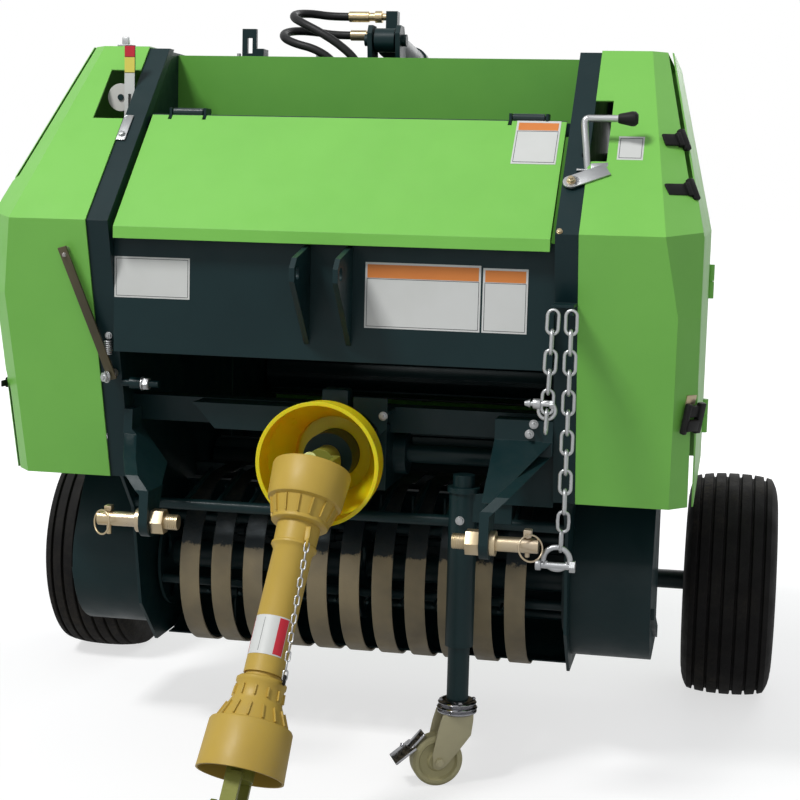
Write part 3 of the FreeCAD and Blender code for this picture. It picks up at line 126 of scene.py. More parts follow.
def maths(tree, how, a, b):
    """Two values put together, each a node's output or a plain number; sums and products stay from 0 to 1."""
    node = add(tree, "Math", operation=how, use_clamp=how in ("MULTIPLY", "ADD"))
    for index, value in enumerate((a, b)):
        if isinstance(value, (int, float)):
            node.inputs[index].default_value = value
        else:
            tree.links.new(value, node.inputs[index])
    return node.outputs[0]


def vector_maths(tree, how, first, second=None):
    """A node that works on one vector, or on a vector and a second one given as numbers."""
    node = add(tree, "VectorMath", operation=how)
    tree.links.new(first, node.inputs[0])
    if second is not None:
        node.inputs[1].default_value = second
    return node


def make_dust():
    """Field dust: it lies on what looks up and low on the machine, in cloudy patches."""
    tree, source, result = group("Field dust", [("Amount", 1.0), ("Low splash", 1.0)],
                                 [("Dust", "NodeSocketFloat")])
    place = object_place(tree)
    facing = apart(tree, add(tree, "NewGeometry").outputs["Normal"])["Z"]
    height = apart(tree, place)["Z"]
    lying = step(tree, facing, 0.55, 1.0)
    low = maths(tree, "MULTIPLY", step(tree, height, 0.55, 0.05), source.outputs["Low splash"])
    clouds = step(tree, noise(tree, place, 7.0, 5.0, 0.62), 0.42, 0.72)
    grit = step(tree, noise(tree, place, 95.0, 3.0, 0.7), 0.35, 0.75)
    base = maths(tree, "MULTIPLY", maths(tree, "ADD", lying, low), clouds)
    dust = maths(tree, "MULTIPLY", maths(tree, "MULTIPLY", base, grit), source.outputs["Amount"])
    tree.links.new(dust, result.inputs["Dust"])
    return tree


def make_wear():
    """Rubbed edges, found where a rounded normal leaves the flat one, broken up into chips."""
    tree, source, result = group("Rubbed edges", [("Width", 0.002), ("Amount", 1.0)],
                                 [("Edge", "NodeSocketFloat"), ("Normal", "NodeSocketVector")])
    rounded = add(tree, "Bevel", samples=4)
    tree.links.new(source.outputs["Width"], rounded.inputs["Radius"])
    dot = vector_maths(tree, "DOT_PRODUCT", rounded.outputs[0])
    tree.links.new(add(tree, "NewGeometry").outputs["Normal"], dot.inputs[1])
    chips = step(tree, noise(tree, object_place(tree), 38.0, 4.0, 0.65), 0.50, 0.62)
    edge = step(tree, dot.outputs["Value"], 0.985, 0.90)
    worn = maths(tree, "MULTIPLY", maths(tree, "MULTIPLY", edge, chips), source.outputs["Amount"])
    tree.links.new(worn, result.inputs["Edge"])
    tree.links.new(rounded.outputs[0], result.inputs["Normal"])
    return tree


DUST, WEAR = make_dust(), make_wear()


# ---------------- materials
def use_group(tree, group_tree, **values):
    """A group placed in a material, with its inputs named in small letters."""
    node = tree.nodes.new("ShaderNodeGroup")
    node.node_tree = group_tree
    for name, value in values.items():
        node.inputs[name.replace("_", " ").capitalize()].default_value = value
    return node


def mix(tree, mask, first, second):
    """A colour mixed from two colours, each a node's output or plain numbers."""
    node = add(tree, "Mix", data_type="RGBA")
    tree.links.new(mask, node.inputs["Factor"])
    for socket, value in ((node.inputs[6], first), (node.inputs[7], second)):
        if isinstance(value, tuple):
            socket.default_value = (*value, 1.0)
        else:
            tree.links.new(value, socket)
    return node.outputs[2]


def label_finish(colour, shade, edge_colour, rough=(0.35, 0.5), edge_amount=0.3):
    """A row of the finishes for a printed label."""
    return colour, shade, 0.0, rough, 0.0, 0.2, 0.3, edge_colour, edge_amount, 0.5, 300.0, 0.02


# finish: colour, shade of it in patches, metallic, roughness low and high, coat, dust, splash,
#         edge colour, edge amount, edge width in mm, grain scale, grain height in mm
FINISHES = {
    "green_paint": ((0.215, 0.590, 0.095), (0.200, 0.560, 0.088), 0.0, (0.34, 0.46), 0.06, 0.12, 0.3,
                    (0.30, 0.42, 0.20), 0.35, 1.0, 420.0, 0.03),
    # the twine box's green: the covers' paint made darker as a painted shade on its walls
    "box_shaded_paint": ((0.120, 0.380, 0.048), (0.105, 0.350, 0.044), 0.0, (0.40, 0.52), 0.0, 0.16, 0.3,
                  (0.20, 0.30, 0.13), 0.35, 1.0, 420.0, 0.03),
    "dark_paint": ((0.0035, 0.0190, 0.0215), (0.0055, 0.0240, 0.0265), 0.0, (0.34, 0.52), 0.05, 0.06, 0.30,
                   (0.06, 0.075, 0.075), 0.5, 1.2, 300.0, 0.05),
    "yoke_paint": ((0.235, 0.245, 0.030), (0.19, 0.20, 0.028), 0.15, (0.30, 0.48), 0.0, 0.15, 0.2,
                   (0.40, 0.40, 0.20), 0.5, 0.8, 300.0, 0.06),
    "tyre": ((0.0095, 0.0090, 0.0092), (0.0140, 0.0130, 0.0128), 0.0, (0.60, 0.82), 0.0, 0.30, 0.6,
             (0.025, 0.023, 0.021), 0.4, 1.5, 260.0, 0.12),
    "hose_rubber": ((0.010, 0.010, 0.011), (0.018, 0.018, 0.018), 0.0, (0.35, 0.55), 0.0, 0.25, 0.3,
                    (0.04, 0.04, 0.04), 0.3, 0.8, 700.0, 0.08),
    "black_rubber": ((0.008, 0.008, 0.008), (0.012, 0.012, 0.012), 0.0, (0.45, 0.62), 0.0, 0.2, 0.3,
                     (0.03, 0.03, 0.03), 0.3, 0.8, 400.0, 0.06),
    "guard_plastic": ((0.54, 0.365, 0.058), (0.48, 0.32, 0.054), 0.0, (0.38, 0.55), 0.0, 0.4, 0.6,
                      (0.55, 0.42, 0.16), 0.5, 1.2, 500.0, 0.06),
    "yellow_plastic": ((0.97, 0.70, 0.006), (0.93, 0.66, 0.006), 0.0, (0.25, 0.38), 0.0, 0.25, 0.3,
                       (0.80, 0.55, 0.12), 0.5, 1.2, 400.0, 0.04),
    "white_nylon": ((0.72, 0.71, 0.67), (0.62, 0.61, 0.57), 0.0, (0.40, 0.55), 0.0, 0.3, 0.3,
                    (0.80, 0.79, 0.75), 0.3, 0.8, 400.0, 0.04),
    "castor_nylon": ((0.56, 0.51, 0.27), (0.49, 0.45, 0.25), 0.0, (0.45, 0.62), 0.0, 0.5, 0.8,
                     (0.5, 0.48, 0.36), 0.5, 1.0, 300.0, 0.08),
    "fork_plate": ((0.54, 0.49, 0.30), (0.47, 0.43, 0.27), 0.2, (0.28, 0.48), 0.0, 0.3, 0.6,
                   (0.62, 0.60, 0.50), 0.5, 0.8, 300.0, 0.05),
    "zinc_steel": ((0.60, 0.47, 0.24), (0.50, 0.42, 0.32), 0.9, (0.24, 0.45), 0.0, 0.25, 0.3,
                   (0.72, 0.68, 0.58), 0.6, 0.8, 600.0, 0.05),
    "galvanised": ((0.52, 0.53, 0.53), (0.40, 0.41, 0.42), 0.9, (0.28, 0.50), 0.0, 0.2, 0.3,
                   (0.70, 0.70, 0.70), 0.6, 0.6, 500.0, 0.08),
    "chrome": ((0.50, 0.50, 0.52), (0.30, 0.30, 0.32), 1.0, (0.08, 0.26), 0.0, 0.2, 0.3,
               (0.80, 0.80, 0.78), 0.4, 0.8, 260.0, 0.03),
    "bare_steel": ((0.40, 0.385, 0.36), (0.22, 0.20, 0.18), 0.85, (0.30, 0.55), 0.0, 0.4, 0.4,
                   (0.62, 0.60, 0.57), 0.6, 0.8, 300.0, 0.08),
    "worn_steel": ((0.250, 0.205, 0.125), (0.12, 0.105, 0.080), 0.35, (0.32, 0.58), 0.0, 0.3, 0.5,
                   (0.40, 0.36, 0.28), 0.7, 1.0, 200.0, 0.10),
    "lever_steel": ((0.105, 0.088, 0.046), (0.065, 0.056, 0.032), 0.3, (0.28, 0.45), 0.0, 0.12, 0.3,
                    (0.30, 0.27, 0.20), 0.5, 0.8, 300.0, 0.04),
    "label_white": label_finish((0.70, 0.71, 0.69), (0.64, 0.65, 0.62), (0.5, 0.5, 0.48)),
    "label_orange": label_finish((0.76, 0.25, 0.055), (0.70, 0.22, 0.05), (0.8, 0.5, 0.3)),
    "label_red": label_finish((0.62, 0.024, 0.045), (0.56, 0.02, 0.04), (0.7, 0.3, 0.3)),
    "label_yellow": label_finish((0.80, 0.70, 0.13), (0.76, 0.66, 0.12), (0.8, 0.6, 0.3)),
    "label_ink": label_finish((0.045, 0.05, 0.055), (0.06, 0.065, 0.07), (0.2, 0.2, 0.2), (0.4, 0.55), 0.2),
}
# the hood's paint is the covers' own; its hinge tubes are dark within the first of two radii in metres
FINISHES["hood_paint"] = FINISHES["green_paint"]
HINGE_DARK_R, HINGE_PAINT_R = 0.0074, 0.0078

DUST_COLOUR = (0.30, 0.25, 0.17)
COAT_ROUGHNESS = 0.12
DUST_ROUGHNESS = 0.5
# how many times its own height the grain is drawn
RELIEF = 6.0
# finish: colour of the part above a height in metres, how ragged that part's lower edge is, and how blurred
UPPER_COAT = {"worn_steel": ((0.014, 0.021, 0.024), 0.334, 0.030, 0.002)}
# finish: how much light goes into it, and how deep in metres
SOFT_LIGHT = {"yellow_plastic": (0.4, 0.03)}
# gloss of the finishes that reflect less than paint does
PAINT_GLOSS = 0.4
DULL = {"dark_paint": 0.22, "tyre": 0.15, "hose_rubber": 0.25, "black_rubber": 0.2, "worn_steel": 0.3}


def hinge_mask(tree, place):
    """The hood's hinge tubes, from their distance to the hinge's line, which lies across the machine."""
    offset = vector_maths(tree, "SUBTRACT", place, JOINTS["hood_hinge"]["pos_m"])
    flat = vector_maths(tree, "MULTIPLY", offset.outputs[0], (0.0, 1.0, 1.0))
    length = vector_maths(tree, "LENGTH", flat.outputs[0])
    return step(tree, length.outputs["Value"], HINGE_PAINT_R, HINGE_DARK_R)


def coat_mask(tree, place, height, ragged, blur):
    """What lies above a height, with a ragged lower edge."""
    uneven = maths(tree, "MULTIPLY", noise(tree, place, 60.0, 4.0, 0.7), ragged)
    level = maths(tree, "SUBTRACT", apart(tree, place)["Z"], uneven)
    middle = height - ragged / 2
    return step(tree, level, middle - blur, middle + blur)


def add_relief(tree, place, normal, scale, height_mm):
    """The fine grain of a surface, on top of a normal that is rounded already."""
    relief = add(tree, "Bump")
    relief.inputs["Strength"].default_value = min(1.0, height_mm * RELIEF)
    relief.inputs["Distance"].default_value = height_mm / 1000 * RELIEF
    tree.links.new(noise(tree, place, scale, 2.0, 0.6), relief.inputs["Height"])
    tree.links.new(normal, relief.inputs["Normal"])
    return relief.outputs[0]


def make_finish(name):
    """One finish: patchy colour, rubbed edges, dust over both, an uneven gloss and a fine grain."""
    (colour, shade, metal, rough, coat, dust_amount, splash, edge_colour, edge_amount, edge_mm, grain_scale,
     grain) = FINISHES[name]
    material = bpy.data.materials.new(name)
    material.use_nodes = True
    tree = material.node_tree
    shader = tree.nodes["Principled BSDF"]
    soft_weight, soft_depth = SOFT_LIGHT.get(name, (0.0, 0.05))
    for label, value in (("Metallic", metal), ("Coat Weight", coat), ("Coat Roughness", COAT_ROUGHNESS),
                         ("Specular IOR Level", DULL.get(name, PAINT_GLOSS)),
                         ("Subsurface Weight", soft_weight), ("Subsurface Scale", soft_depth)):
        shader.inputs[label].default_value = value
    place = object_place(tree)
    dust = use_group(tree, DUST, amount=dust_amount, low_splash=splash).outputs["Dust"]
    wear = use_group(tree, WEAR, width=edge_mm / 1000, amount=edge_amount)
    painted = mix(tree, step(tree, noise(tree, place, 5.0, 4.0, 0.6), 0.38, 0.66), colour, shade)
    if name in UPPER_COAT:
        coat_colour, *edge = UPPER_COAT[name]
        painted = mix(tree, coat_mask(tree, place, *edge), painted, coat_colour)
    if name == "hood_paint":
        painted = mix(tree, hinge_mask(tree, place), painted, FINISHES["dark_paint"][0])
    rubbed = mix(tree, wear.outputs["Edge"], painted, edge_colour)
    tree.links.new(mix(tree, dust, rubbed, DUST_COLOUR), shader.inputs["Base Color"])
    sheen = step(tree, noise(tree, place, 22.0, 4.0, 0.6), 0.3, 0.7, *rough)
    dulled = maths(tree, "ADD", sheen, maths(tree, "MULTIPLY", dust, DUST_ROUGHNESS))
    tree.links.new(dulled, shader.inputs["Roughness"])
    grained = add_relief(tree, place, wear.outputs["Normal"], grain_scale, grain)
    tree.links.new(grained, shader.inputs["Normal"])
    return material


FINISH = {name: make_finish(name) for name in FINISHES}


# ---------------- making pieces
def placed(name, content):
    """An object at the origin, unturned, that shows a mesh, a curve, a lamp or a camera."""
    piece = bpy.data.objects.new(name, content)
    bpy.context.scene.collection.objects.link(piece)
    return piece


def finished(name, mesh_maker, finish, body, smooth=40.0):
    """One piece from a filled bmesh in millimetres of the drawing: shaded, painted, riding on its body."""
    mesh_maker.normal_update()
    for vertex in mesh_maker.verts:
        vertex.co = at(*vertex.co)
    mesh = bpy.data.meshes.new(name)
    mesh_maker.to_mesh(mesh)
    mesh_maker.free()
    mesh.materials.append(FINISH[finish])
    piece = placed(name, mesh)
    mesh.shade_smooth()
    mesh.set_sharp_from_angle(angle=math.radians(smooth))
    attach(piece, body)
    return piece


def turn_to(way, about=Z):
    """The turn that takes one axis to another way."""
    return about.rotation_difference(Vector(way)).to_matrix().to_4x4()


def round_edges(target, edges, width):
    """Edges rounded off with a bevel."""
    bmesh.ops.bevel(target, geom=edges, offset=width, segments=2, affect="EDGES", profile=0.5, material=-1)


def edges_at(vertices):
    """The edges that meet at some vertices."""
    return list({edge for vertex in vertices for edge in vertex.link_edges})


def add_box(target, low, high, bevel=0.0):
    """A box between two corners."""
    low, high = Vector(low), Vector(high)
    size = Matrix.Diagonal((*(high - low), 1.0))
    made = bmesh.ops.create_cube(target, size=1.0, matrix=Matrix.Translation((low + high) / 2) @ size)
    if bevel:
        round_edges(target, edges_at(made["verts"]), bevel)


def add_rod(target, start, end, radius, far_radius=None, sides=20, bevel=0.0):
    """A round bar, or a cone, from one place to another; six sides make a nut."""
    start, end = Vector(start), Vector(end)
    place = Matrix.Translation((start + end) / 2) @ turn_to(end - start)
    made = bmesh.ops.create_cone(target, cap_ends=True, segments=sides, radius1=radius,
                                 radius2=radius if far_radius is None else far_radius,
                                 depth=(end - start).length, matrix=place)
    if bevel:
        caps = {face for vertex in made["verts"] for face in vertex.link_faces if len(face.verts) > 4}
        round_edges(target, list({edge for cap in caps for edge in cap.edges}), bevel)


def pour(form, target):
    """Adds one bmesh to another and empties it."""
    mesh = bpy.data.meshes.new("form")
    form.to_mesh(mesh)
    form.free()
    target.from_mesh(mesh)
    bpy.data.meshes.remove(mesh)


def add_turned(target, profile, centre, way, steps=48):
    """A closed profile of (along, radius) points turned about a line."""
    form = bmesh.new()
    ring = [form.verts.new((radius, 0, along)) for along, radius in profile]
    edges = [form.edges.new((ring[i], ring[(i + 1) % len(ring)])) for i in range(len(ring))]
    bmesh.ops.spin(form, geom=ring + edges, cent=(0, 0, 0), axis=(0, 0, 1), angle=math.tau, steps=steps,
                   use_merge=True)
    bmesh.ops.remove_doubles(form, verts=form.verts, dist=0.001)
    bmesh.ops.recalc_face_normals(form, faces=form.faces)
    bmesh.ops.transform(form, matrix=Matrix.Translation(Vector(centre)) @ turn_to(way), verts=form.verts)
    pour(form, target)


def add_ring(target, centre, way, radius, wire, steps=28, sides=10):
    """A round ring of wire."""
    section = [(math.sin(math.tau * i / sides) * wire, radius + math.cos(math.tau * i / sides) * wire)
               for i in range(sides)]
    add_turned(target, section, centre, way, steps)


# sizes of a bolt's head, its washer and its stud, each for a thread of 1
WASHER_T, WASHER_R, HEAD_T, HEAD_R, HEAD_BEVEL, STUD_R = 0.2, 1.15, 0.75, 0.98, 0.08, 0.5


def add_bolt(target, centre, way, size, stud=0.0):
    """A hexagon head or nut on its washer, standing out along a way; size is the thread in mm."""
    centre, way = Vector(centre), Vector(way).normalized()
    base = centre + way * size * WASHER_T
    add_rod(target, centre, base, size * WASHER_R, sides=24)
    add_rod(target, base, base + way * size * HEAD_T, size * HEAD_R, sides=6, bevel=size * HEAD_BEVEL)
    if stud:
        add_rod(target, base, base + way * (size * HEAD_T + stud), size * STUD_R, sides=16)


def add_bar(target, start, end, width, thick, out, bevel=0.0):
    """A flat bar between two places, its thickness lying along the way out."""
    start, end = Vector(start), Vector(end)
    along = (end - start).normalized()
    across = along.cross(Vector(out)).normalized()
    turn = Matrix((across, along, across.cross(along))).transposed().to_4x4()
    size = Matrix.Diagonal((width, (end - start).length, thick, 1.0))
    made = bmesh.ops.create_cube(target, size=1.0,
                                 matrix=Matrix.Translation((start + end) / 2) @ turn @ size)
    if bevel:
        round_edges(target, edges_at(made["verts"]), bevel)


def add_link(target, centre, along, across, length, width, wire):
    """One chain link: a ring of wire drawn out along the chain."""
    along, across = Vector(along).normalized(), Vector(across).normalized()
    form = bmesh.new()
    add_ring(form, (0, 0, 0), along.cross(across), width / 2 - wire, wire, steps=16, sides=8)
    stretch = along * ((length - width) / 2)
    for sign in (1, -1):
        end = [vertex for vertex in form.verts if vertex.co.dot(along) * sign > 0.01]
        bmesh.ops.translate(form, vec=stretch * sign, verts=end)
    bmesh.ops.translate(form, vec=Vector(centre), verts=form.verts)
    pour(form, target)


def smooth_line(name, points):
    """A smooth curve led by points in millimetres of the drawing."""
    curve = bpy.data.curves.new(name, "CURVE")
    curve.dimensions = "3D"
    curve.use_fill_caps = True
    spline = curve.splines.new("NURBS")
    spline.points.add(len(points) - 1)
    for point, place in zip(spline.points, points):
        point.co = (*at(*place), 1.0)
    spline.order_u = 3
    spline.use_endpoint_u = True
    return curve


def line_mesh(curve, radius=0.0):
    """The mesh of a curve: its line, or a tube of a radius in millimetres round it."""
    curve.bevel_depth = radius / 1000
    holder = placed(curve.name, curve)
    mesh = bpy.data.meshes.new_from_object(holder)
    bpy.data.objects.remove(holder)
    return mesh


def tube_piece(name, curve, radius, finish):
    """A round tube or wire along a curve."""
    mesh = line_mesh(curve, radius)
    mesh.materials.clear()
    mesh.materials.append(FINISH[finish])
    mesh.shade_smooth()
    piece = placed(name, mesh)
    return piece


# ---------------- camera, light and floor
EYE_AT = (589.5, -2590.2, 917.7)
EYE_RIGHT, EYE_UP = Vector((0.9801, 0.1963, 0.0259)), Vector((-0.0492, 0.1149, 0.9921))
EYE_FORWARD = Vector((-0.1918, 0.9738, -0.1222))
LENS_MM, SENSOR_MM = 75.85, 36.0
# name: place in metres, size in metres, watts
LAMPS = {
    "sun side": ((-2.7, -3.7, 6.2), 1.45, 350.0),
    "front fill": ((1.0, -3.8, 2.0), 2.6, 8.0),
    "back fill": ((1.2, 3.4, 2.6), 2.6, 45.0),
}
LAMP_AIM = (0, 150, 600)
SKY_COLOUR, SKY_STRENGTH = (0.93, 0.96, 1.0, 1.0), 0.38
WHITE = (1.0, 1.0, 1.0, 1.0)
GLOSS_SHARE = 0.45
FLOOR_SIZE, FLOOR_GREY = 80.0, (0.42, 0.42, 0.42, 1.0)
# how much of the floor's white is its own, near the machine and far from it, and the two distances in metres
FLOOR_GLOW_NEAR, FLOOR_GLOW_FAR = 0.66, 1.0
FLOOR_NEAR, FLOOR_FAR = 1.1, 3.6


def camera():
    """The camera in front of the machine and a little to its left."""
    data = bpy.data.cameras.new("camera")
    data.lens, data.sensor_width = LENS_MM, SENSOR_MM
    eye = placed("camera", data)
    turn = Matrix((EYE_RIGHT, EYE_UP, -EYE_FORWARD)).transposed().to_4x4()
    eye.matrix_world = Matrix.Translation(at(*EYE_AT)) @ turn
    bpy.context.scene.camera = eye


def seen_rays(tree):
    """Full for what the camera sees, part for a gloss or a glass, nothing for the light on the object."""
    path = add(tree, "LightPath")
    gloss = maths(tree, "ADD", path.outputs["Is Glossy Ray"], path.outputs["Is Transmission Ray"])
    return maths(tree, "ADD", path.outputs["Is Camera Ray"], maths(tree, "MULTIPLY", gloss, GLOSS_SHARE))


def lamps():
    """Three soft lamps, all aimed at the middle of the machine."""
    middle = at(*LAMP_AIM)
    for name, (place, size, power) in LAMPS.items():
        data = bpy.data.lights.new(name, "AREA")
        data.size, data.energy = size, power
        place = Vector(place)
        placed(name, data).matrix_world = Matrix.Translation(place) @ turn_to(middle - place, -Z)


def studio():
    """A pale sky that lights the machine, seen as plain white."""
    world = bpy.data.worlds.new("studio")
    bpy.context.scene.world = world
    world.use_nodes = True
    tree = world.node_tree
    sky, white = tree.nodes["Background"], add(tree, "Background")
    for node, colour, strength in ((sky, SKY_COLOUR, SKY_STRENGTH), (white, WHITE, 1.0)):
        node.inputs["Color"].default_value = colour
        node.inputs["Strength"].default_value = strength
    chosen = add(tree, "MixShader")
    for index, output in enumerate((seen_rays(tree), sky.outputs[0], white.outputs[0])):
        tree.links.new(output, chosen.inputs[index])
    tree.links.new(chosen.outputs[0], tree.nodes["World Output"].inputs["Surface"])


def floor():
    """A pale floor that keeps the machine's shadow and fades into the white far off."""
    shape = bmesh.new()
    bmesh.ops.create_grid(shape, x_segments=1, y_segments=1, size=FLOOR_SIZE)
    mesh = bpy.data.meshes.new("floor")
    shape.to_mesh(mesh)
    shape.free()
    material = bpy.data.materials.new("floor_white")
    material.use_nodes = True
    tree = material.node_tree
    shader = tree.nodes["Principled BSDF"]
    for label, value in (("Base Color", FLOOR_GREY), ("Roughness", 1.0), ("Specular IOR Level", 0.0),
                         ("Emission Color", WHITE)):
        shader.inputs[label].default_value = value
    reach = vector_maths(tree, "LENGTH", object_place(tree)).outputs["Value"]
    glow = step(tree, reach, FLOOR_NEAR, FLOOR_FAR, FLOOR_GLOW_NEAR, FLOOR_GLOW_FAR)
    tree.links.new(maths(tree, "MULTIPLY", seen_rays(tree), glow), shader.inputs["Emission Strength"])
    mesh.materials.append(material)
    placed("floor", mesh)


# ---------------- hoses
HOSE_R = 7.0
HOSES = {
    # name: length in metres, and the route in millimetres from the barrel's fitting to the frame's union
    "hydraulic_hose_upper": (0.342, (
        (-86, 302, 1216), (-118, 302, 1216), (-150, 294, 1220), (-172, 268, 1217),
        (-170, 235, 1208), (-146, 210, 1196), (-112, 198, 1180), (-78, 195, 1160),
        (-50, 198, 1136), (-38, 203, 1106), (-38, 203, 1076))),
    "hydraulic_hose_lower": (0.325, (
        (-84, 308, 1185), (-114, 308, 1185), (-146, 304, 1190), (-176, 284, 1190),
        (-190, 254, 1183), (-182, 224, 1172), (-156, 206, 1161), (-122, 200, 1153),
        (-92, 201, 1136), (-74, 204, 1108), (-74, 204, 1078))),
}


def hoses():
    """The two hoses, each a rubber tube along its route in place of the drawn hose."""
    for name, (length, route) in HOSES.items():
        curve = smooth_line(name + "_route", route)
        curve.bevel_resolution = 6
        curve.resolution_u = 24
        path = [tuple(vertex.co) for vertex in line_mesh(curve).vertices]
        piece = tube_piece(name + "_cord", curve, HOSE_R, "hose_rubber")
        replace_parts(piece, name)
        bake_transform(piece)


# ---------------- tyres and wheels
# the tyre's wall from the bead up: how far in from the widest place, how far out from the rim
TYRE_WALL = ((17, 0.6), (10, 6.5), (6, 9), (2.5, 20), (1.5, 21.5), (0.8, 27), (0, 42), (0.8, 58), (2.6, 66),
             (2.2, 68), (5, 79))
# its shoulder: how far in from the widest place, how far down from the tread
TYRE_SHOULDER = ((9, 14), (13, 7.5))
# the corners of its hollow: how far in from the widest place, how far out from the rim
TYRE_HOLLOW = ((17, 12), (22, 60))
TREAD_GROOVES = (57.0, 35.0, 12.0, -12.0, -35.0, -57.0)
GROOVE_HALF, GROOVE_DEPTH = 2.6, 7.0
CROWN_FALL, CROWN_POWER = 7.0, 2.6
SIDES = (("left", 1), ("right", -1))
NUTS_A_WHEEL, NUT_CIRCLE_R, NUT_THREAD = 5, 71.0, 9.0
VALVE_CIRCLE_R, VALVE_WAY = 88.0, Vector((0, -0.6, 0.8))
# along the axle from the wheel's middle, and radius
HUB_CAP = ((29, 0.5), (29, 25), (31, 26), (33, 25), (42, 22), (47, 15), (48.5, 0.5))


def tyre_profile():
    """The tyre's closed section: wall, ribbed tread, the other wall and the hollow."""
    half = TYRE_W / 2
    wall = [(half - inwards, RIM_R + out) for inwards, out in TYRE_WALL]
    wall += [(half - inwards, TYRE_R - down) for inwards, down in TYRE_SHOULDER]
    lip = ((GROOVE_HALF + 1, 0), (GROOVE_HALF, 1), (GROOVE_HALF - 1, GROOVE_DEPTH))
    groove = lip + tuple((-offset, depth) for offset, depth in reversed(lip))
    crown = []
    for middle in TREAD_GROOVES:
        for offset, depth in groove:
            x = middle + offset
            fall = CROWN_FALL * abs(x / (half - TYRE_SHOULDER[-1][0])) ** CROWN_POWER
            crown.append((x, TYRE_R - fall - depth))
    hollow = [(half - inwards, RIM_R + out) for inwards, out in reversed(TYRE_HOLLOW)]
    far_wall, far_hollow = ([(-x, radius) for x, radius in reversed(part)] for part in (wall, hollow))
    return wall + crown + far_wall + far_hollow + hollow


def tyres():
    """The two tyres with their tread's ribs."""
    for name, side in SIDES:
        shape = bmesh.new()
        add_turned(shape, tyre_profile(), (side * TRACK_HALF, AXLE_Y, TYRE_R), X, steps=112)
        rubber = finished("tyre_tread_" + name, shape, "tyre", "wheel_" + name, smooth=32.0)
        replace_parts(rubber, "tyre_" + name)


def wheel_trim():
    """Nuts, hub cap and valve of each wheel."""
    for name, side in SIDES:
        centre, out = Vector((side * TRACK_HALF, AXLE_Y, TYRE_R)), X * side
        nuts = bmesh.new()
        for index in range(NUTS_A_WHEEL):
            turn = math.radians(360 / NUTS_A_WHEEL * index + 18)
            spoke = Vector((0, math.cos(turn), math.sin(turn)))
            add_bolt(nuts, centre + out * 9.5 + spoke * NUT_CIRCLE_R, out, NUT_THREAD, stud=4)
        finished("wheel_nuts_" + name, nuts, "zinc_steel", "wheel_" + name)
        cap = bmesh.new()
        add_turned(cap, HUB_CAP, centre, out, steps=40)
        finished("hub_cap_" + name, cap, "dark_paint", "wheel_" + name)
        valve = bmesh.new()
        foot = centre + out * 30 + VALVE_WAY * VALVE_CIRCLE_R
        add_rod(valve, foot - out * 6, foot + out * 16, 4.2)
        add_rod(valve, foot + out * 15, foot + out * 26, 3.2, bevel=0.6)
        finished("wheel_valve_" + name, valve, "black_rubber", "wheel_" + name)


# ---------------- castor
JACK_X, JACK_Y = 195.0, -61.0
CASTOR_AXLE = Vector((166.0, -74.0, 40.0))
CASTOR_TRAIL = Vector((-29.0, -13.0, 0.0)).normalized()
CASTOR_ACROSS = CASTOR_TRAIL.cross(Z)
# outline of a cheek from the axle: along the trail, and up
CHEEK = ((9, -8), (0, -12), (-9, -8), (-28, 14), (-50, 42), (-53, 66), (-53, 76), (-4, 76), (2, 56), (11, 12))
# how far from the wheel's middle a cheek's inner face lies, its thickness and bevel, and the nut outside it
CHEEK_IN, CHEEK_T, CHEEK_BEVEL, CHEEK_NUT_T, CHEEK_NUT_R = 19, 3, 0.8, 5, 7.5
CASTOR_AXLE_HALF, CASTOR_AXLE_R = 28, 4
SWIVEL_Z, SWIVEL_TOP, SWIVEL_NECK_TOP, SWIVEL_NECK_R = 114, 134, 159, 8.5
# the swivel's plates and its two rows of balls: height above the lowest, and radius
SWIVEL = ((0, 0.5), (0, 29), (2, 31), (4, 31), (5, 29), (6, 29.5), (9, 32), (12, 29.5), (13, 27), (14, 29),
          (17, 30.5), (20, 28), (22, 22), (22, 0.5))
SWIVEL_BOLT_ANGLES, SWIVEL_BOLT_CIRCLE_R, SWIVEL_BOLT = (20, 110, 200, 290), 26, 3
PEDAL = CASTOR_AXLE + CASTOR_TRAIL * 53 + Z * 13
PEDAL_OUT = (Z * 0.8 + CASTOR_TRAIL * 0.6).normalized()
PEDAL_HALF, PEDAL_LONG, PEDAL_T, PEDAL_BEVEL = 23, 40, 4, 1.2


def castor_cheeks():
    """The castor's two cheeks with its axle and nuts."""
    cheeks = bmesh.new()
    for side in (-1, 1):
        cheek = bmesh.new()
        inside = CASTOR_AXLE + CASTOR_ACROSS * (side * CHEEK_IN)
        outline = [cheek.verts.new(inside + CASTOR_TRAIL * along + Z * up) for along, up in CHEEK]
        solid = bmesh.ops.extrude_face_region(cheek, geom=[cheek.faces.new(outline)])
        moved = [part for part in solid["geom"] if isinstance(part, bmesh.types.BMVert)]
        bmesh.ops.translate(cheek, vec=CASTOR_ACROSS * (side * CHEEK_T), verts=moved)
        bmesh.ops.recalc_face_normals(cheek, faces=cheek.faces)
        round_edges(cheek, cheek.edges[:], CHEEK_BEVEL)
        pour(cheek, cheeks)
        face = inside + CASTOR_ACROSS * side * CHEEK_T
        nut_end = inside + CASTOR_ACROSS * side * (CHEEK_T + CHEEK_NUT_T)
        add_rod(cheeks, face, nut_end, CHEEK_NUT_R, sides=6, bevel=0.6)
    reach = CASTOR_ACROSS * CASTOR_AXLE_HALF
    add_rod(cheeks, CASTOR_AXLE - reach, CASTOR_AXLE + reach, CASTOR_AXLE_R)
    fork = finished("castor_cheeks", cheeks, "fork_plate", "castor_fork")
    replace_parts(fork, "castor_fork")


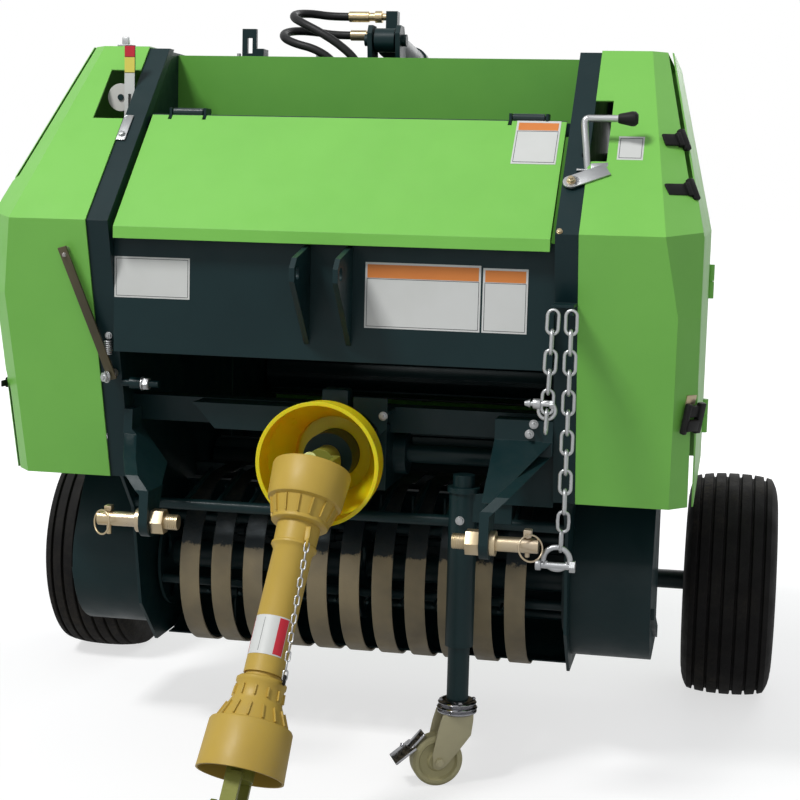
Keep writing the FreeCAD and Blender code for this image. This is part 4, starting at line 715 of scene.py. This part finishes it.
def add_pedal(plated):
    """The brake pedal: its plate, its side arm and its tongue."""
    side = CASTOR_ACROSS * PEDAL_HALF
    add_bar(plated, PEDAL - side, PEDAL + side, PEDAL_LONG, PEDAL_T, PEDAL_OUT, PEDAL_BEVEL)
    add_bar(plated, PEDAL + side + Z * 2, CASTOR_AXLE + side + Z * 6, 10, 3, CASTOR_ACROSS, 0.8)
    add_bar(plated, PEDAL + CASTOR_TRAIL * -8 + Z * 6, CASTOR_AXLE + CASTOR_TRAIL * 22 + Z * 44, 26, PEDAL_T,
            PEDAL_OUT, PEDAL_BEVEL)


def castor_swivel():
    """The castor's plated swivel with its four bolts, its neck and the brake pedal."""
    plated = bmesh.new()
    add_turned(plated, SWIVEL, (JACK_X, JACK_Y, SWIVEL_Z), Z, steps=56)
    add_rod(plated, (JACK_X, JACK_Y, SWIVEL_TOP), (JACK_X, JACK_Y, SWIVEL_NECK_TOP), SWIVEL_NECK_R)
    for angle in SWIVEL_BOLT_ANGLES:
        turn = math.radians(angle)
        x = JACK_X + SWIVEL_BOLT_CIRCLE_R * math.cos(turn)
        y = JACK_Y + SWIVEL_BOLT_CIRCLE_R * math.sin(turn)
        add_bolt(plated, Vector((x, y, SWIVEL_TOP)), Z, SWIVEL_BOLT)
    add_pedal(plated)
    swivel = finished("castor_swivel_plate", plated, "chrome", "castor_fork")
    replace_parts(swivel, "castor_fork")


# ---------------- sloping faces and their blank labels
SLOPE = Vector((0, SLOPE_Y - BREAK_Y, SLOPE_Z - BREAK_Z)).normalized()
SLOPE_OUT = Vector((0, -SLOPE.z, SLOPE.y))
HOOD_SLOPE = Vector((0, 1, 1)).normalized()
HOOD_OUT = Vector((0, -1, 1)).normalized()
POST_SLOPE_Y, POST_SLOPE_Z = BREAK_Y + 3.5, BREAK_Z - 0.5


def on_cover(x, z):
    """A place on the covers' sloping front face."""
    return Vector((x, BREAK_Y + (z - BREAK_Z) * SLOPE.y / SLOPE.z, z))


def on_post(x, z):
    """A place on the posts' sloping front face."""
    return Vector((x, POST_SLOPE_Y + (z - POST_SLOPE_Z) * SLOPE.y / SLOPE.z, z))


def on_hood(x, z):
    """A place on the hood."""
    return Vector((x, HOOD_Y + z - HOOD_Z, z))


def on_panel(x, z):
    """A place on the front panel."""
    return Vector((x, PANEL_Y, z))


# a face: its places, its way up and its way out
COVER_FACE, HOOD_FACE = (on_cover, SLOPE, SLOPE_OUT), (on_hood, HOOD_SLOPE, HOOD_OUT)
PANEL_FACE = (on_panel, Z, -Y)
# name: body, face, x from and to, z from and to, share of the height that an orange head takes
LABELS = {
    "label_hood": ("hood", HOOD_FACE, 253, 320, 964, 1030, 0.20),
    "label_cover": ("root", COVER_FACE, 410, 448, 973, 1008, 0.0),
    "label_panel_right": ("root", PANEL_FACE, -334, -215, 749, 811, 0.0),
    "label_panel_middle": ("root", PANEL_FACE, 55, 227, 718, 815, 0.22),
    "label_panel_left": ("root", PANEL_FACE, 230, 296, 718, 812, 0.20),
}
BORDER_IN, BORDER_W, BORDER_T = 2.5, 0.8, 0.1
BAND_IN, BAND_GAP, BAND_T = 3.2, 1.0, 0.15


def add_patch(shape, face, x0, x1, z0, z1, lift, thick):
    """A thin plate on a face, with its lower edge at z0 and its upper at z1."""
    place, up, out = face
    tall = (place(0, z1) - place(0, z0)).length
    turn = Matrix((X, out, up)).transposed().to_4x4()
    middle = (place((x0 + x1) / 2, z0) + place((x0 + x1) / 2, z1)) / 2 + out * (lift + thick / 2)
    size = Matrix.Diagonal((x1 - x0, thick, tall, 1.0))
    bmesh.ops.create_cube(shape, size=1.0, matrix=Matrix.Translation(middle) @ turn @ size)


def add_border(shape, face, x0, x1, z0, z1):
    """A thin frame of four strips on a label."""
    for a, b, c, d in ((x0, x1, z0, z0 + BORDER_W), (x0, x1, z1 - BORDER_W, z1),
                       (x0, x0 + BORDER_W, z0, z1), (x1 - BORDER_W, x1, z0, z1)):
        add_patch(shape, face, a, b, c, d, SKIN, BORDER_T)


def labels():
    """Blank labels: a white sheet, a dark frame and, on some, an orange head."""
    for name, (body, face, x0, x1, z0, z1, head) in LABELS.items():
        sheet, border = bmesh.new(), bmesh.new()
        add_patch(sheet, face, x0, x1, z0, z1, 0.0, SKIN)
        top = z1 - BORDER_IN - head * (z1 - z0)
        if head:
            band = bmesh.new()
            add_patch(band, face, x0 + BAND_IN, x1 - BAND_IN, top + BAND_GAP, z1 - BAND_IN, SKIN, BAND_T)
            finished(name + "_head", band, "label_orange", body)
        add_border(border, face, x0 + BORDER_IN, x1 - BORDER_IN, z0 + BORDER_IN, top)
        finished(name + "_border", border, "label_ink", body)
        finished(name, sheet, "label_white", body)


# ---------------- crank, gauge and latches
LEVER_TOP, LEVER_LOW = Vector((-403.0, -196.2, 815.9)), Vector((-346.0, -145.5, 626.9))
LEVER_OUT = Vector((0.0, -0.9658, -0.2593))
LEVER_W, LEVER_T, LEVER_BEVEL = 14, 4.5, 0.9
# how far the bar runs on past its lower and its upper pivot, and how far the pivots reach in behind it
PAST_LOW, PAST_TOP, PIVOT_DEEP = 7, 8, 11.7
CRANK_X, CRANK_Y = 363.0, -78.0
CRANK_ARM = ((369, -96, 954), (366, -91, 985), (361, -81, 1020), (360.5, CRANK_Y, 1032.5),
             (374, CRANK_Y, 1032.5), (412, CRANK_Y, 1033))
CRANK_ARM_R = 5.3
GRIP_FOOT = (409.5, CRANK_Y, 1033)
# along the grip, and radius
GRIP = ((0, 0.5), (0, 6.5), (3, 7.5), (20, 11.0), (25, 10.8), (29, 7.0), (29, 0.5))
# the crank plate's bolt and far end on the post, how high its two faces lie over the post, and its bevel
PLATE_BOLT, PLATE_END = on_post(348.4, 935.5), on_post(399, 955)
PLATE_UNDER, PLATE_OVER, PLATE_T, PLATE_BEVEL = 3.5, 6.5, 3, 0.8
GAUGE_X0, GAUGE_X1, GAUGE_Y = -387.0, -370.0, 14.0
# name of the band: finish, lower and upper end of it on the strip
GAUGE_BANDS = {
    "red": ("label_red", 1122, 1139),
    "yellow": ("label_yellow", 1097, 1121),
    "white": ("label_white", 1063, 1096),
}
GAUGE_FOOT_Z, GAUGE_CHEEK_TOP = 1028, 1063
FOOT_X, FOOT_W, FOOT_T, FOOT_BEVEL = -361, 15, 2.5, 0.6
# the two upper catches: where the strap is hooked and where its block sits
UPPER_CATCHES = (((474, -55, 1003), (492, -37, 1003)), ((484, -124, 930), (510, -98, 930)))
UPPER_CATCH_OUT = Vector((0.6, -0.6, 0.5)).normalized()
LOW_CATCH, LOW_CATCH_END = Vector((522, -117, 601)), Vector((546, -84, 601))
LOW_CATCH_OUT = Vector((0.79, -0.57, -0.2)).normalized()
RIGHT_CATCH_HEIGHTS = (600, 800)


def latch_lever():
    """The latch's flat lever on its two pivots, with a small bolt near its top end."""
    bar, pins = bmesh.new(), bmesh.new()
    up = (LEVER_TOP - LEVER_LOW).normalized()
    low, top = LEVER_LOW - up * PAST_LOW, LEVER_TOP + up * PAST_TOP
    add_bar(bar, low, top, LEVER_W, LEVER_T, LEVER_OUT, LEVER_BEVEL)
    add_rod(pins, LEVER_TOP - LEVER_OUT * PIVOT_DEEP, LEVER_TOP, 5.5)
    add_rod(pins, LEVER_LOW - LEVER_OUT * PIVOT_DEEP, LEVER_LOW, 7.5, sides=24)
    add_bolt(pins, LEVER_TOP - up * 4 + LEVER_OUT * 2, LEVER_OUT, 3.0)
    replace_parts(finished("latch_lever_bar", bar, "lever_steel", "root"), "latch_lever")
    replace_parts(finished("latch_lever_pins", pins, "bare_steel", "root"), "latch_lever")


def crank_handle():
    """The crank's bent arm with its turned rubber grip."""
    line = smooth_line("crank_arm_line", CRANK_ARM)
    line.bevel_resolution = 3
    arm = tube_piece("crank_arm", line, CRANK_ARM_R, "galvanised")
    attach(arm, "root")
    grip = bmesh.new()
    add_turned(grip, GRIP, GRIP_FOOT, X, steps=32)
    handle = finished("crank_grip", grip, "black_rubber", "root")
    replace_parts(handle, "crank_handle")
    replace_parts(arm, "crank_handle")


def crank_plate():
    """The plates that hold the crank's arm to the post, with their bolts."""
    plate = bmesh.new()
    middle = SLOPE_OUT * ((PLATE_UNDER + PLATE_OVER) / 2)
    for start, end, width, out in (
            ((CRANK_X + 11, -101, 961), (CRANK_X + 36, -97, 963), 13, (0, -0.8, 0.6)),
            ((CRANK_X - 10, -98, 957), (CRANK_X + 36, -96, 957), 16, Z),
            (PLATE_BOLT + middle, PLATE_END + middle, 24, SLOPE_OUT)):
        add_bar(plate, start, end, width, PLATE_T, out, PLATE_BEVEL)
    under, over = PLATE_BOLT + SLOPE_OUT * PLATE_UNDER, PLATE_BOLT + SLOPE_OUT * PLATE_OVER
    add_rod(plate, under, over, 12)
    finished("crank_plate", plate, "galvanised", "root")
    nut = bmesh.new()
    add_bolt(nut, over, SLOPE_OUT, 6, stud=3)
    add_rod(nut, PLATE_BOLT, under, 8)
    add_bolt(nut, on_post(341, 868), SLOPE_OUT, 4)
    finished("crank_nut", nut, "zinc_steel", "root")


def bale_gauge():
    """The gauge's coloured bands and white cheeks, and the bent foot that is bolted to the post."""
    for name, (finish, low, high) in GAUGE_BANDS.items():
        band = bmesh.new()
        add_box(band, (GAUGE_X0, GAUGE_Y - SKIN, low), (GAUGE_X1, GAUGE_Y, high))
        finished("gauge_band_" + name, band, finish, "root")
    cheeks = bmesh.new()
    for x0, x1 in ((GAUGE_X0, -380.4), (-375.6, GAUGE_X1)):
        add_box(cheeks, (x0, GAUGE_Y - SKIN, GAUGE_FOOT_Z), (x1, GAUGE_Y, GAUGE_CHEEK_TOP))
    finished("gauge_cheeks", cheeks, "label_white", "root")
    foot = bmesh.new()
    bend, lower = on_post(FOOT_X, 1025) + SLOPE_OUT * 2, on_post(FOOT_X, 986) + SLOPE_OUT * 2
    add_bar(foot, (-378.5, GAUGE_Y, GAUGE_FOOT_Z), bend, FOOT_W, FOOT_T, Z, FOOT_BEVEL)
    add_bar(foot, bend, lower, FOOT_W, FOOT_T, SLOPE_OUT, FOOT_BEVEL)
    finished("gauge_foot", foot, "galvanised", "root")
    bolt = bmesh.new()
    add_bolt(bolt, on_post(FOOT_X, 994) + SLOPE_OUT * 3.2, SLOPE_OUT, 5)
    finished("gauge_bolt", bolt, "galvanised", "root")


def add_upper_catches(rubber):
    """The two rubber straps with their blocks over the left cover's chamfer."""
    out = UPPER_CATCH_OUT
    for strap, block in UPPER_CATCHES:
        strap, block = Vector(strap), Vector(block)
        run = (block - strap).normalized()
        add_bar(rubber, strap + out * 3, block + out * 4, 19, 4, out, 1.2)
        add_bar(rubber, block + out * 5, block + run * 9 + out * 5, 23, 8, out, 2.0)
        add_bar(rubber, block + run * 7 + out * 5, block + run * 19 + out * 5, 35, 9, out, 2.5)


def add_low_catch(rubber, buckle):
    """The hooked catch low on the left cover: two blocks, two straps between them and a buckle."""
    low, out = LOW_CATCH, LOW_CATCH_OUT
    run = (LOW_CATCH_END - low).normalized()
    for start, end in ((0, 8), (28, 41)):
        add_bar(rubber, low + run * start + out * 5, low + run * end + out * 5, 47, 9, out, 2.0)
    for drop in (-10.5, 10.5):
        first, last = (low + run * along + out * 5 + Z * drop for along in (5, 31))
        add_bar(rubber, first, last, 17, 8, out, 1.5)
    first, last = (low + run * along + out * 2.5 + Z * 27 for along in (5, 27))
    add_bar(buckle, first, last, 15, 3.5, out, 0.8)


def cover_catches():
    """The covers' rubber catches: two over the left chamfer, a hooked one low down, and two on the right."""
    rubber, buckle = bmesh.new(), bmesh.new()
    add_upper_catches(rubber)
    add_low_catch(rubber, buckle)
    for z in RIGHT_CATCH_HEIGHTS:
        add_box(rubber, (-548, -86, z - 8), (-543, -52, z + 8), 1.5)
        add_box(rubber, (-546, -106, z - 5), (-543, -82, z + 5), 1.0)
    finished("cover_catches", rubber, "black_rubber", "root")
    finished("catch_buckle", buckle, "zinc_steel", "root")


# ---------------- safety chains and hitch pins
LINK_LONG, LINK_PITCH, LINK_WIRE, LINK_WIDE = 34.0, 28.4, 2.5, 21.0
END_LINK_Z = 457.6
SHACKLE, SHACKLE_PIN_DROP = Vector((358, -228, 400)), 6
SMALL_SHACKLE, SMALL_PIN_UP = Vector((336, -224, 616)), 9
# the nut and the collar on each hitch pin: from and to along the pin, radius, sides, bevel
PIN_NUT, PIN_COLLAR = (227.0, 247.6, 19.8, 6, 0.8), (262.2, 270.5, 18.2, 32, 0.0)
PIN_THREAD_X, PIN_THREAD_TURNS = 209, 6
LYNCH_X, LYNCH_R, LYNCH_RING_WIRE = 316, 3.5, 1.4
# side, heights of the pin's two ends over the hitch pin, half the block's depth and its top,
# the spring ring's height, way and radius
LYNCH_PINS = (
    (1, -17, 13, 8, 24, -1, (0.55, -0.8, 0.25), 19),
    (-1, 17, -24, 7, 20, -4, (-0.5, -0.8, 0.1), 18),
)


def add_shackle(bow):
    """The large shackle: a bow flattened below, and its pin with head and nut."""
    add_ring(bow, SHACKLE + Z * 2, Y, 19, 4, steps=40, sides=12)
    lowest = [vertex for vertex in bow.verts if vertex.co.z < SHACKLE.z - 4]
    bmesh.ops.translate(bow, vec=Z * 6, verts=lowest)
    pin = SHACKLE - Z * SHACKLE_PIN_DROP
    add_rod(bow, pin - X * 26, pin + X * 27, 5)
    add_rod(bow, pin - X * 30, pin - X * 22, 8, bevel=1.0)
    add_rod(bow, pin + X * 19, pin + X * 27, 9, sides=6)


def add_small_shackle(bow):
    """The small shackle higher up, and its pin with collar, tip and nut."""
    add_ring(bow, SMALL_SHACKLE, Y, 12, 3, steps=32)
    pin = SMALL_SHACKLE + Z * SMALL_PIN_UP
    add_rod(bow, pin - X * 30, pin + X * 8, 3.6)
    add_rod(bow, pin - X * 20, pin - X * 9, 7.5, bevel=1.0)
    add_rod(bow, pin - X * 32, pin - X * 24, 3.0, 6.0)
    add_rod(bow, pin + X * 4, pin + X * 9, 6.5, sides=6)


def chain_ends():
    """The last two links of the safety chain, and the shackles."""
    links, bow = bmesh.new(), bmesh.new()
    for index, across in enumerate((X, Y)):
        place = (365 - 2 * index, -224, END_LINK_Z - LINK_PITCH * index)
        add_link(links, place, Z, across, LINK_LONG, LINK_WIDE, LINK_WIRE)
    add_shackle(bow)
    add_small_shackle(bow)
    finished("chain_shackles", bow, "galvanised", "root")
    finished("chain_end_links", links, "galvanised", "root")


def pin_nuts():
    """A nut, a collar and a thread on each hitch pin."""
    nuts = bmesh.new()
    for _, side in SIDES:
        for start, end, radius, sides, bevel in (PIN_NUT, PIN_COLLAR):
            start, end = (side * start, PIN_Y, PIN_Z), (side * end, PIN_Y, PIN_Z)
            add_rod(nuts, start, end, radius, sides=sides, bevel=bevel)
        for turn in range(PIN_THREAD_TURNS):
            place = (side * (PIN_THREAD_X + 3 * turn), PIN_Y, PIN_Z)
            add_ring(nuts, place, X, PIN_R, 0.8, steps=24, sides=6)
    finished("pin_nuts", nuts, "zinc_steel", "root")


def lynch_pins():
    """The lynch pin through the end of each hitch pin, with its block and its spring ring."""
    lynch = bmesh.new()
    for side, first, last, half, top, ring_z, ring_way, ring_r in LYNCH_PINS:
        x = side * LYNCH_X
        add_rod(lynch, (x, PIN_Y, PIN_Z + first), (x, PIN_Y, PIN_Z + last), LYNCH_R, bevel=0.8)
        add_box(lynch, (x - 6, PIN_Y - half, PIN_Z + 12), (x + 6, PIN_Y + half, PIN_Z + top), 2.0)
        ring = (x + side * 6, PIN_Y - 14, PIN_Z + ring_z)
        add_ring(lynch, ring, ring_way, ring_r, LYNCH_RING_WIRE, steps=36)
    finished("lynch_pins", lynch, "zinc_steel", "root")


# ---------------- drive shaft guards
DROP, TURN = math.radians(SHAFT_DROP), math.radians(SHAFT_TURN)
SHAFT = Vector((-math.sin(TURN) * math.cos(DROP), -math.cos(TURN) * math.cos(DROP), -math.sin(DROP)))
JOINT = Vector((0, JOINT_Y, JOINT_Z))
SWING = X.cross(SHAFT).normalized()
GUARD_TUBE_R, GUARD_TUBE_T, GUARD_END = 28.3, 2.5, 316.0
# along the shaft and radius, from the wide mouth to the long tube and back inside
REAR_GUARD = (
    (4, 52), (4, 56.5), (8, 58), (54, 55), (58, 54), (59.5, 51), (60.5, 48.5), (86, 41), (88, 42), (91, 41.5),
    (93, 39), (94, 31.8), (122, 30.8), (124, 33), (127, 33.2), (130, 31), (134, GUARD_TUBE_R),
    (GUARD_END, GUARD_TUBE_R), (GUARD_END, GUARD_TUBE_R - GUARD_TUBE_T), (96, GUARD_TUBE_R - GUARD_TUBE_T),
    (90, 36), (62, 45), (56, 51))
# the same, from the short tube to the wide mouth and back inside
FRONT_GUARD = (
    (190, 22), (190, 25), (321, 25), (322, 32), (325, 35.5), (330, 35.5), (333, 33.5), (353, 35), (356, 36.5),
    (384, 49), (386, 56.5), (389, 58.5), (448, 61), (456, 61.5), (456, 58.5), (390, 55), (385, 47),
    (385, 20.4), (381, 20.4), (381, 44), (356, 33), (330, 31), (322, 22))
# body: rows of ribs, each with its count, first place along the shaft and radius there, last place and radius
GUARD_RIBS = {
    "pto_rear_half": ((15, 61, 48.6, 84, 41.8),),
    "pto_front_half": ((12, 337, 33.9, 351, 34.9), (15, 363, 39.7, 383, 48.5)),
}
RIB_W, RIB_T, FIRST_RIB = 2.2, 5.0, 6
CHAIN_LINKS, CHAIN_SAG, CHAIN_WIDE, CHAIN_WIRE, CHAIN_OVERLAP = 15, -4, 8.5, 1.2, 3.4
# degree round the shaft, radius and place along it of the chain's two ends
CHAIN_EYE, CHAIN_HOOK = (42, 39, 126), (62, 41, 322)
# name of the band: finish, first and last degree round the tube, first and last place along it, lift
WRAP_BANDS = {
    "sheet": ("label_white", -68, 56, 236, 292, 0.3),
    "head": ("label_red", 26, 54, 238, 290, 0.45),
    "edge": ("label_red", -66, -63, 238, 290, 0.45),
    "middle": ("label_ink", -18, -17, 240, 288, 0.45),
}
WRAP_T, WRAP_STEP = 0.25, 6


def round_shaft(degrees, radius, along):
    """A place round the drive shaft; 0 degrees looks up and forward, 90 to the machine's left."""
    turn = math.radians(degrees)
    across = SHAFT.cross(SWING) * (math.sin(turn) * radius)
    return JOINT + SHAFT * along - SWING * (math.cos(turn) * radius) + across


def guard_shell(end, profile, steps=72):
    """One half of the shaft's guard, turned about the shaft."""
    shape = bmesh.new()
    add_turned(shape, profile, JOINT, SHAFT, steps)
    shell = finished(f"guard_{end}_shell", shape, "guard_plastic", f"pto_{end}_half")
    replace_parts(shell, "pto_guard_" + end)


def guard_ribs():
    """The ribs round the guards' cones."""
    for body, rows in GUARD_RIBS.items():
        ribs = bmesh.new()
        for count, first, first_r, last, last_r in rows:
            for index in range(count):
                angle = 360 * index / count + FIRST_RIB
                start, end = round_shaft(angle, first_r, first), round_shaft(angle, last_r, last)
                out = round_shaft(angle, 1.0, first) - (JOINT + SHAFT * first)
                add_bar(ribs, start, end, RIB_W, RIB_T, out)
        finished("guard_ribs_" + body, ribs, "guard_plastic", body)


def guard_chain():
    """The guard's thin chain with its clip and its eye on the rear guard, and its hook on the front one."""
    links, clip, hook = bmesh.new(), bmesh.new(), bmesh.new()
    start, end = round_shaft(*CHAIN_EYE), round_shaft(*CHAIN_HOOK)
    way = (end - start).normalized()
    side = way.cross(Vector((0.2, -1, 0.3))).normalized()
    length = (end - start).length / CHAIN_LINKS + CHAIN_OVERLAP
    for index in range(CHAIN_LINKS):
        share = (index + 0.5) / CHAIN_LINKS
        sag = SWING * CHAIN_SAG * math.sin(math.pi * share)
        across = side if index % 2 == 0 else way.cross(side)
        add_link(links, start.lerp(end, share) + sag, way, across, length, CHAIN_WIDE, CHAIN_WIRE)
    finished("guard_chain", links, "galvanised", "pto_rear_half")
    add_bar(clip, round_shaft(42, 32, 100), round_shaft(42, 36, 123), 8, 5, -SWING, 1.5)
    add_ring(clip, start, side, 5, 2.2, steps=20)
    finished("guard_chain_eye", clip, "guard_plastic", "pto_rear_half")
    add_ring(hook, end, side, 5.5, 2.2, steps=20)
    finished("guard_chain_hook", hook, "black_rubber", "pto_rear_half")


def guard_label():
    """The blank label wrapped round the guard's tube: a white sheet with coloured bands on it."""
    for name, (finish, first, last, low, high, lift) in WRAP_BANDS.items():
        wrap = bmesh.new()
        ends = [wrap.verts.new(round_shaft(first, GUARD_TUBE_R + lift, along)) for along in (low, high)]
        edge = wrap.edges.new(ends)
        bmesh.ops.spin(wrap, geom=ends + [edge], cent=JOINT, axis=SHAFT, angle=-math.radians(last - first),
                       steps=max(2, round((last - first) / WRAP_STEP)), use_merge=False)
        bmesh.ops.recalc_face_normals(wrap, faces=wrap.faces)
        bmesh.ops.solidify(wrap, geom=wrap.faces[:], thickness=WRAP_T)
        bmesh.ops.recalc_face_normals(wrap, faces=wrap.faces)
        finished("shaft_label_" + name, wrap, finish, "pto_rear_half")


# ---------------- small parts on the frame
# place, way out, thread in mm, length of the stud
FRAME_BOLTS = (
    ((193.8, -83, 421.7), (0, -1, 0), 6, 0), ((306, -118, 581), (0, -1, 0), 6, 7),
    ((300, -118, 566), (0, -1, 0), 6, 7), ((72, -92, 578), (0, -1, 0), 6, 4),
    ((-352, -148, 624), (-0.5, -0.8, 0), 8, 2), ((-350, -147, 688), (0, -1, 0), 5, 3),
    ((-268, 250, 1135), (0, 0, 1), 7, 6), ((-128, 250, 1135), (0, 0, 1), 7, 6),
)
TENSION_Y, TENSION_Z = -126, 614
# piece: finish, slot, and its steps, each from and to across the machine, radius, sides and bevel
TENSION_ROD = {
    "tension_stub": ("dark_paint", "dark_paint", ((-336, -276, 5.5, 20, 0.0), (-322, -305, 9, 20, 0.0))),
    "tension_nut": ("galvanised", "zinc_steel", ((-303, -301, 11, 20, 0.0), (-301, -291, 10, 6, 0.8))),
}
SPRING_X, SPRING_Y, SPRING_Z = -350, -149, 660
SPRING_TURNS, SPRING_PITCH, SPRING_R, SPRING_WIRE = 7, 3.2, 5.5, 1.2


def frame_bolts():
    """The bolts on the frame, and the small block on its plate up on the right."""
    bolts = bmesh.new()
    for place, way, size, stud in FRAME_BOLTS:
        add_bolt(bolts, place, way, size, stud)
    add_box(bolts, (-426, 84, 1144), (-402, 100, 1147), 0.5)
    add_box(bolts, (-420, 88, 1147), (-408, 96, 1160), 2.0)
    finished("frame_bolts", bolts, "galvanised", "root")


def tension_rod():
    """The tension rod's end with its sleeve, washer and nut."""
    for name, (finish, slot, steps) in TENSION_ROD.items():
        rod = bmesh.new()
        for start, end, radius, sides, bevel in steps:
            start, end = (start, TENSION_Y, TENSION_Z), (end, TENSION_Y, TENSION_Z)
            add_rod(rod, start, end, radius, sides=sides, bevel=bevel)
        finished(name, rod, finish, "root")


def lever_spring():
    """The small coil spring by the latch's lever."""
    coil = bmesh.new()
    for turn in range(SPRING_TURNS):
        place = (SPRING_X, SPRING_Y, SPRING_Z + SPRING_PITCH * turn)
        add_ring(coil, place, Z, SPRING_R, SPRING_WIRE, steps=20, sides=8)
    finished("lever_spring", coil, "galvanised", "root")


def gearbox_top():
    """The raised cap on the gearbox."""
    cap = bmesh.new()
    add_box(cap, (-26, -92, 578), (17, -60, 616), 5.0)
    finished("gearbox_top", cap, "dark_paint", "root")


# ---------------- everything put in place
camera()
lamps()
studio()
floor()
hoses()
tyres()
wheel_trim()
castor_cheeks()
castor_swivel()
labels()
latch_lever()
crank_handle()
crank_plate()
bale_gauge()
cover_catches()
chain_ends()
pin_nuts()
lynch_pins()
guard_shell("rear", REAR_GUARD)
guard_shell("front", FRONT_GUARD)
guard_ribs()
guard_chain()
guard_label()
frame_bolts()
tension_rod()
lever_spring()
gearbox_top()

# ---------------- paint of the frame's own pieces
# the twine box takes the darker green of a painted shade, not the covers' own green
OWN_FINISH = {"pto_end_yoke": "yoke_paint", "pto_input_yoke": "yoke_paint", "pto_tube_rear": "yoke_paint",
              "pto_tube_front": "yoke_paint", "hood": "hood_paint", "twine_box": "box_shaded_paint"}
for node in frame["record"]["subparts"]:
    piece = NODES[node["node"]]
    piece.data.materials.clear()
    piece.data.materials.append(FINISH[OWN_FINISH.get(node["node"], node["material_slot"])])
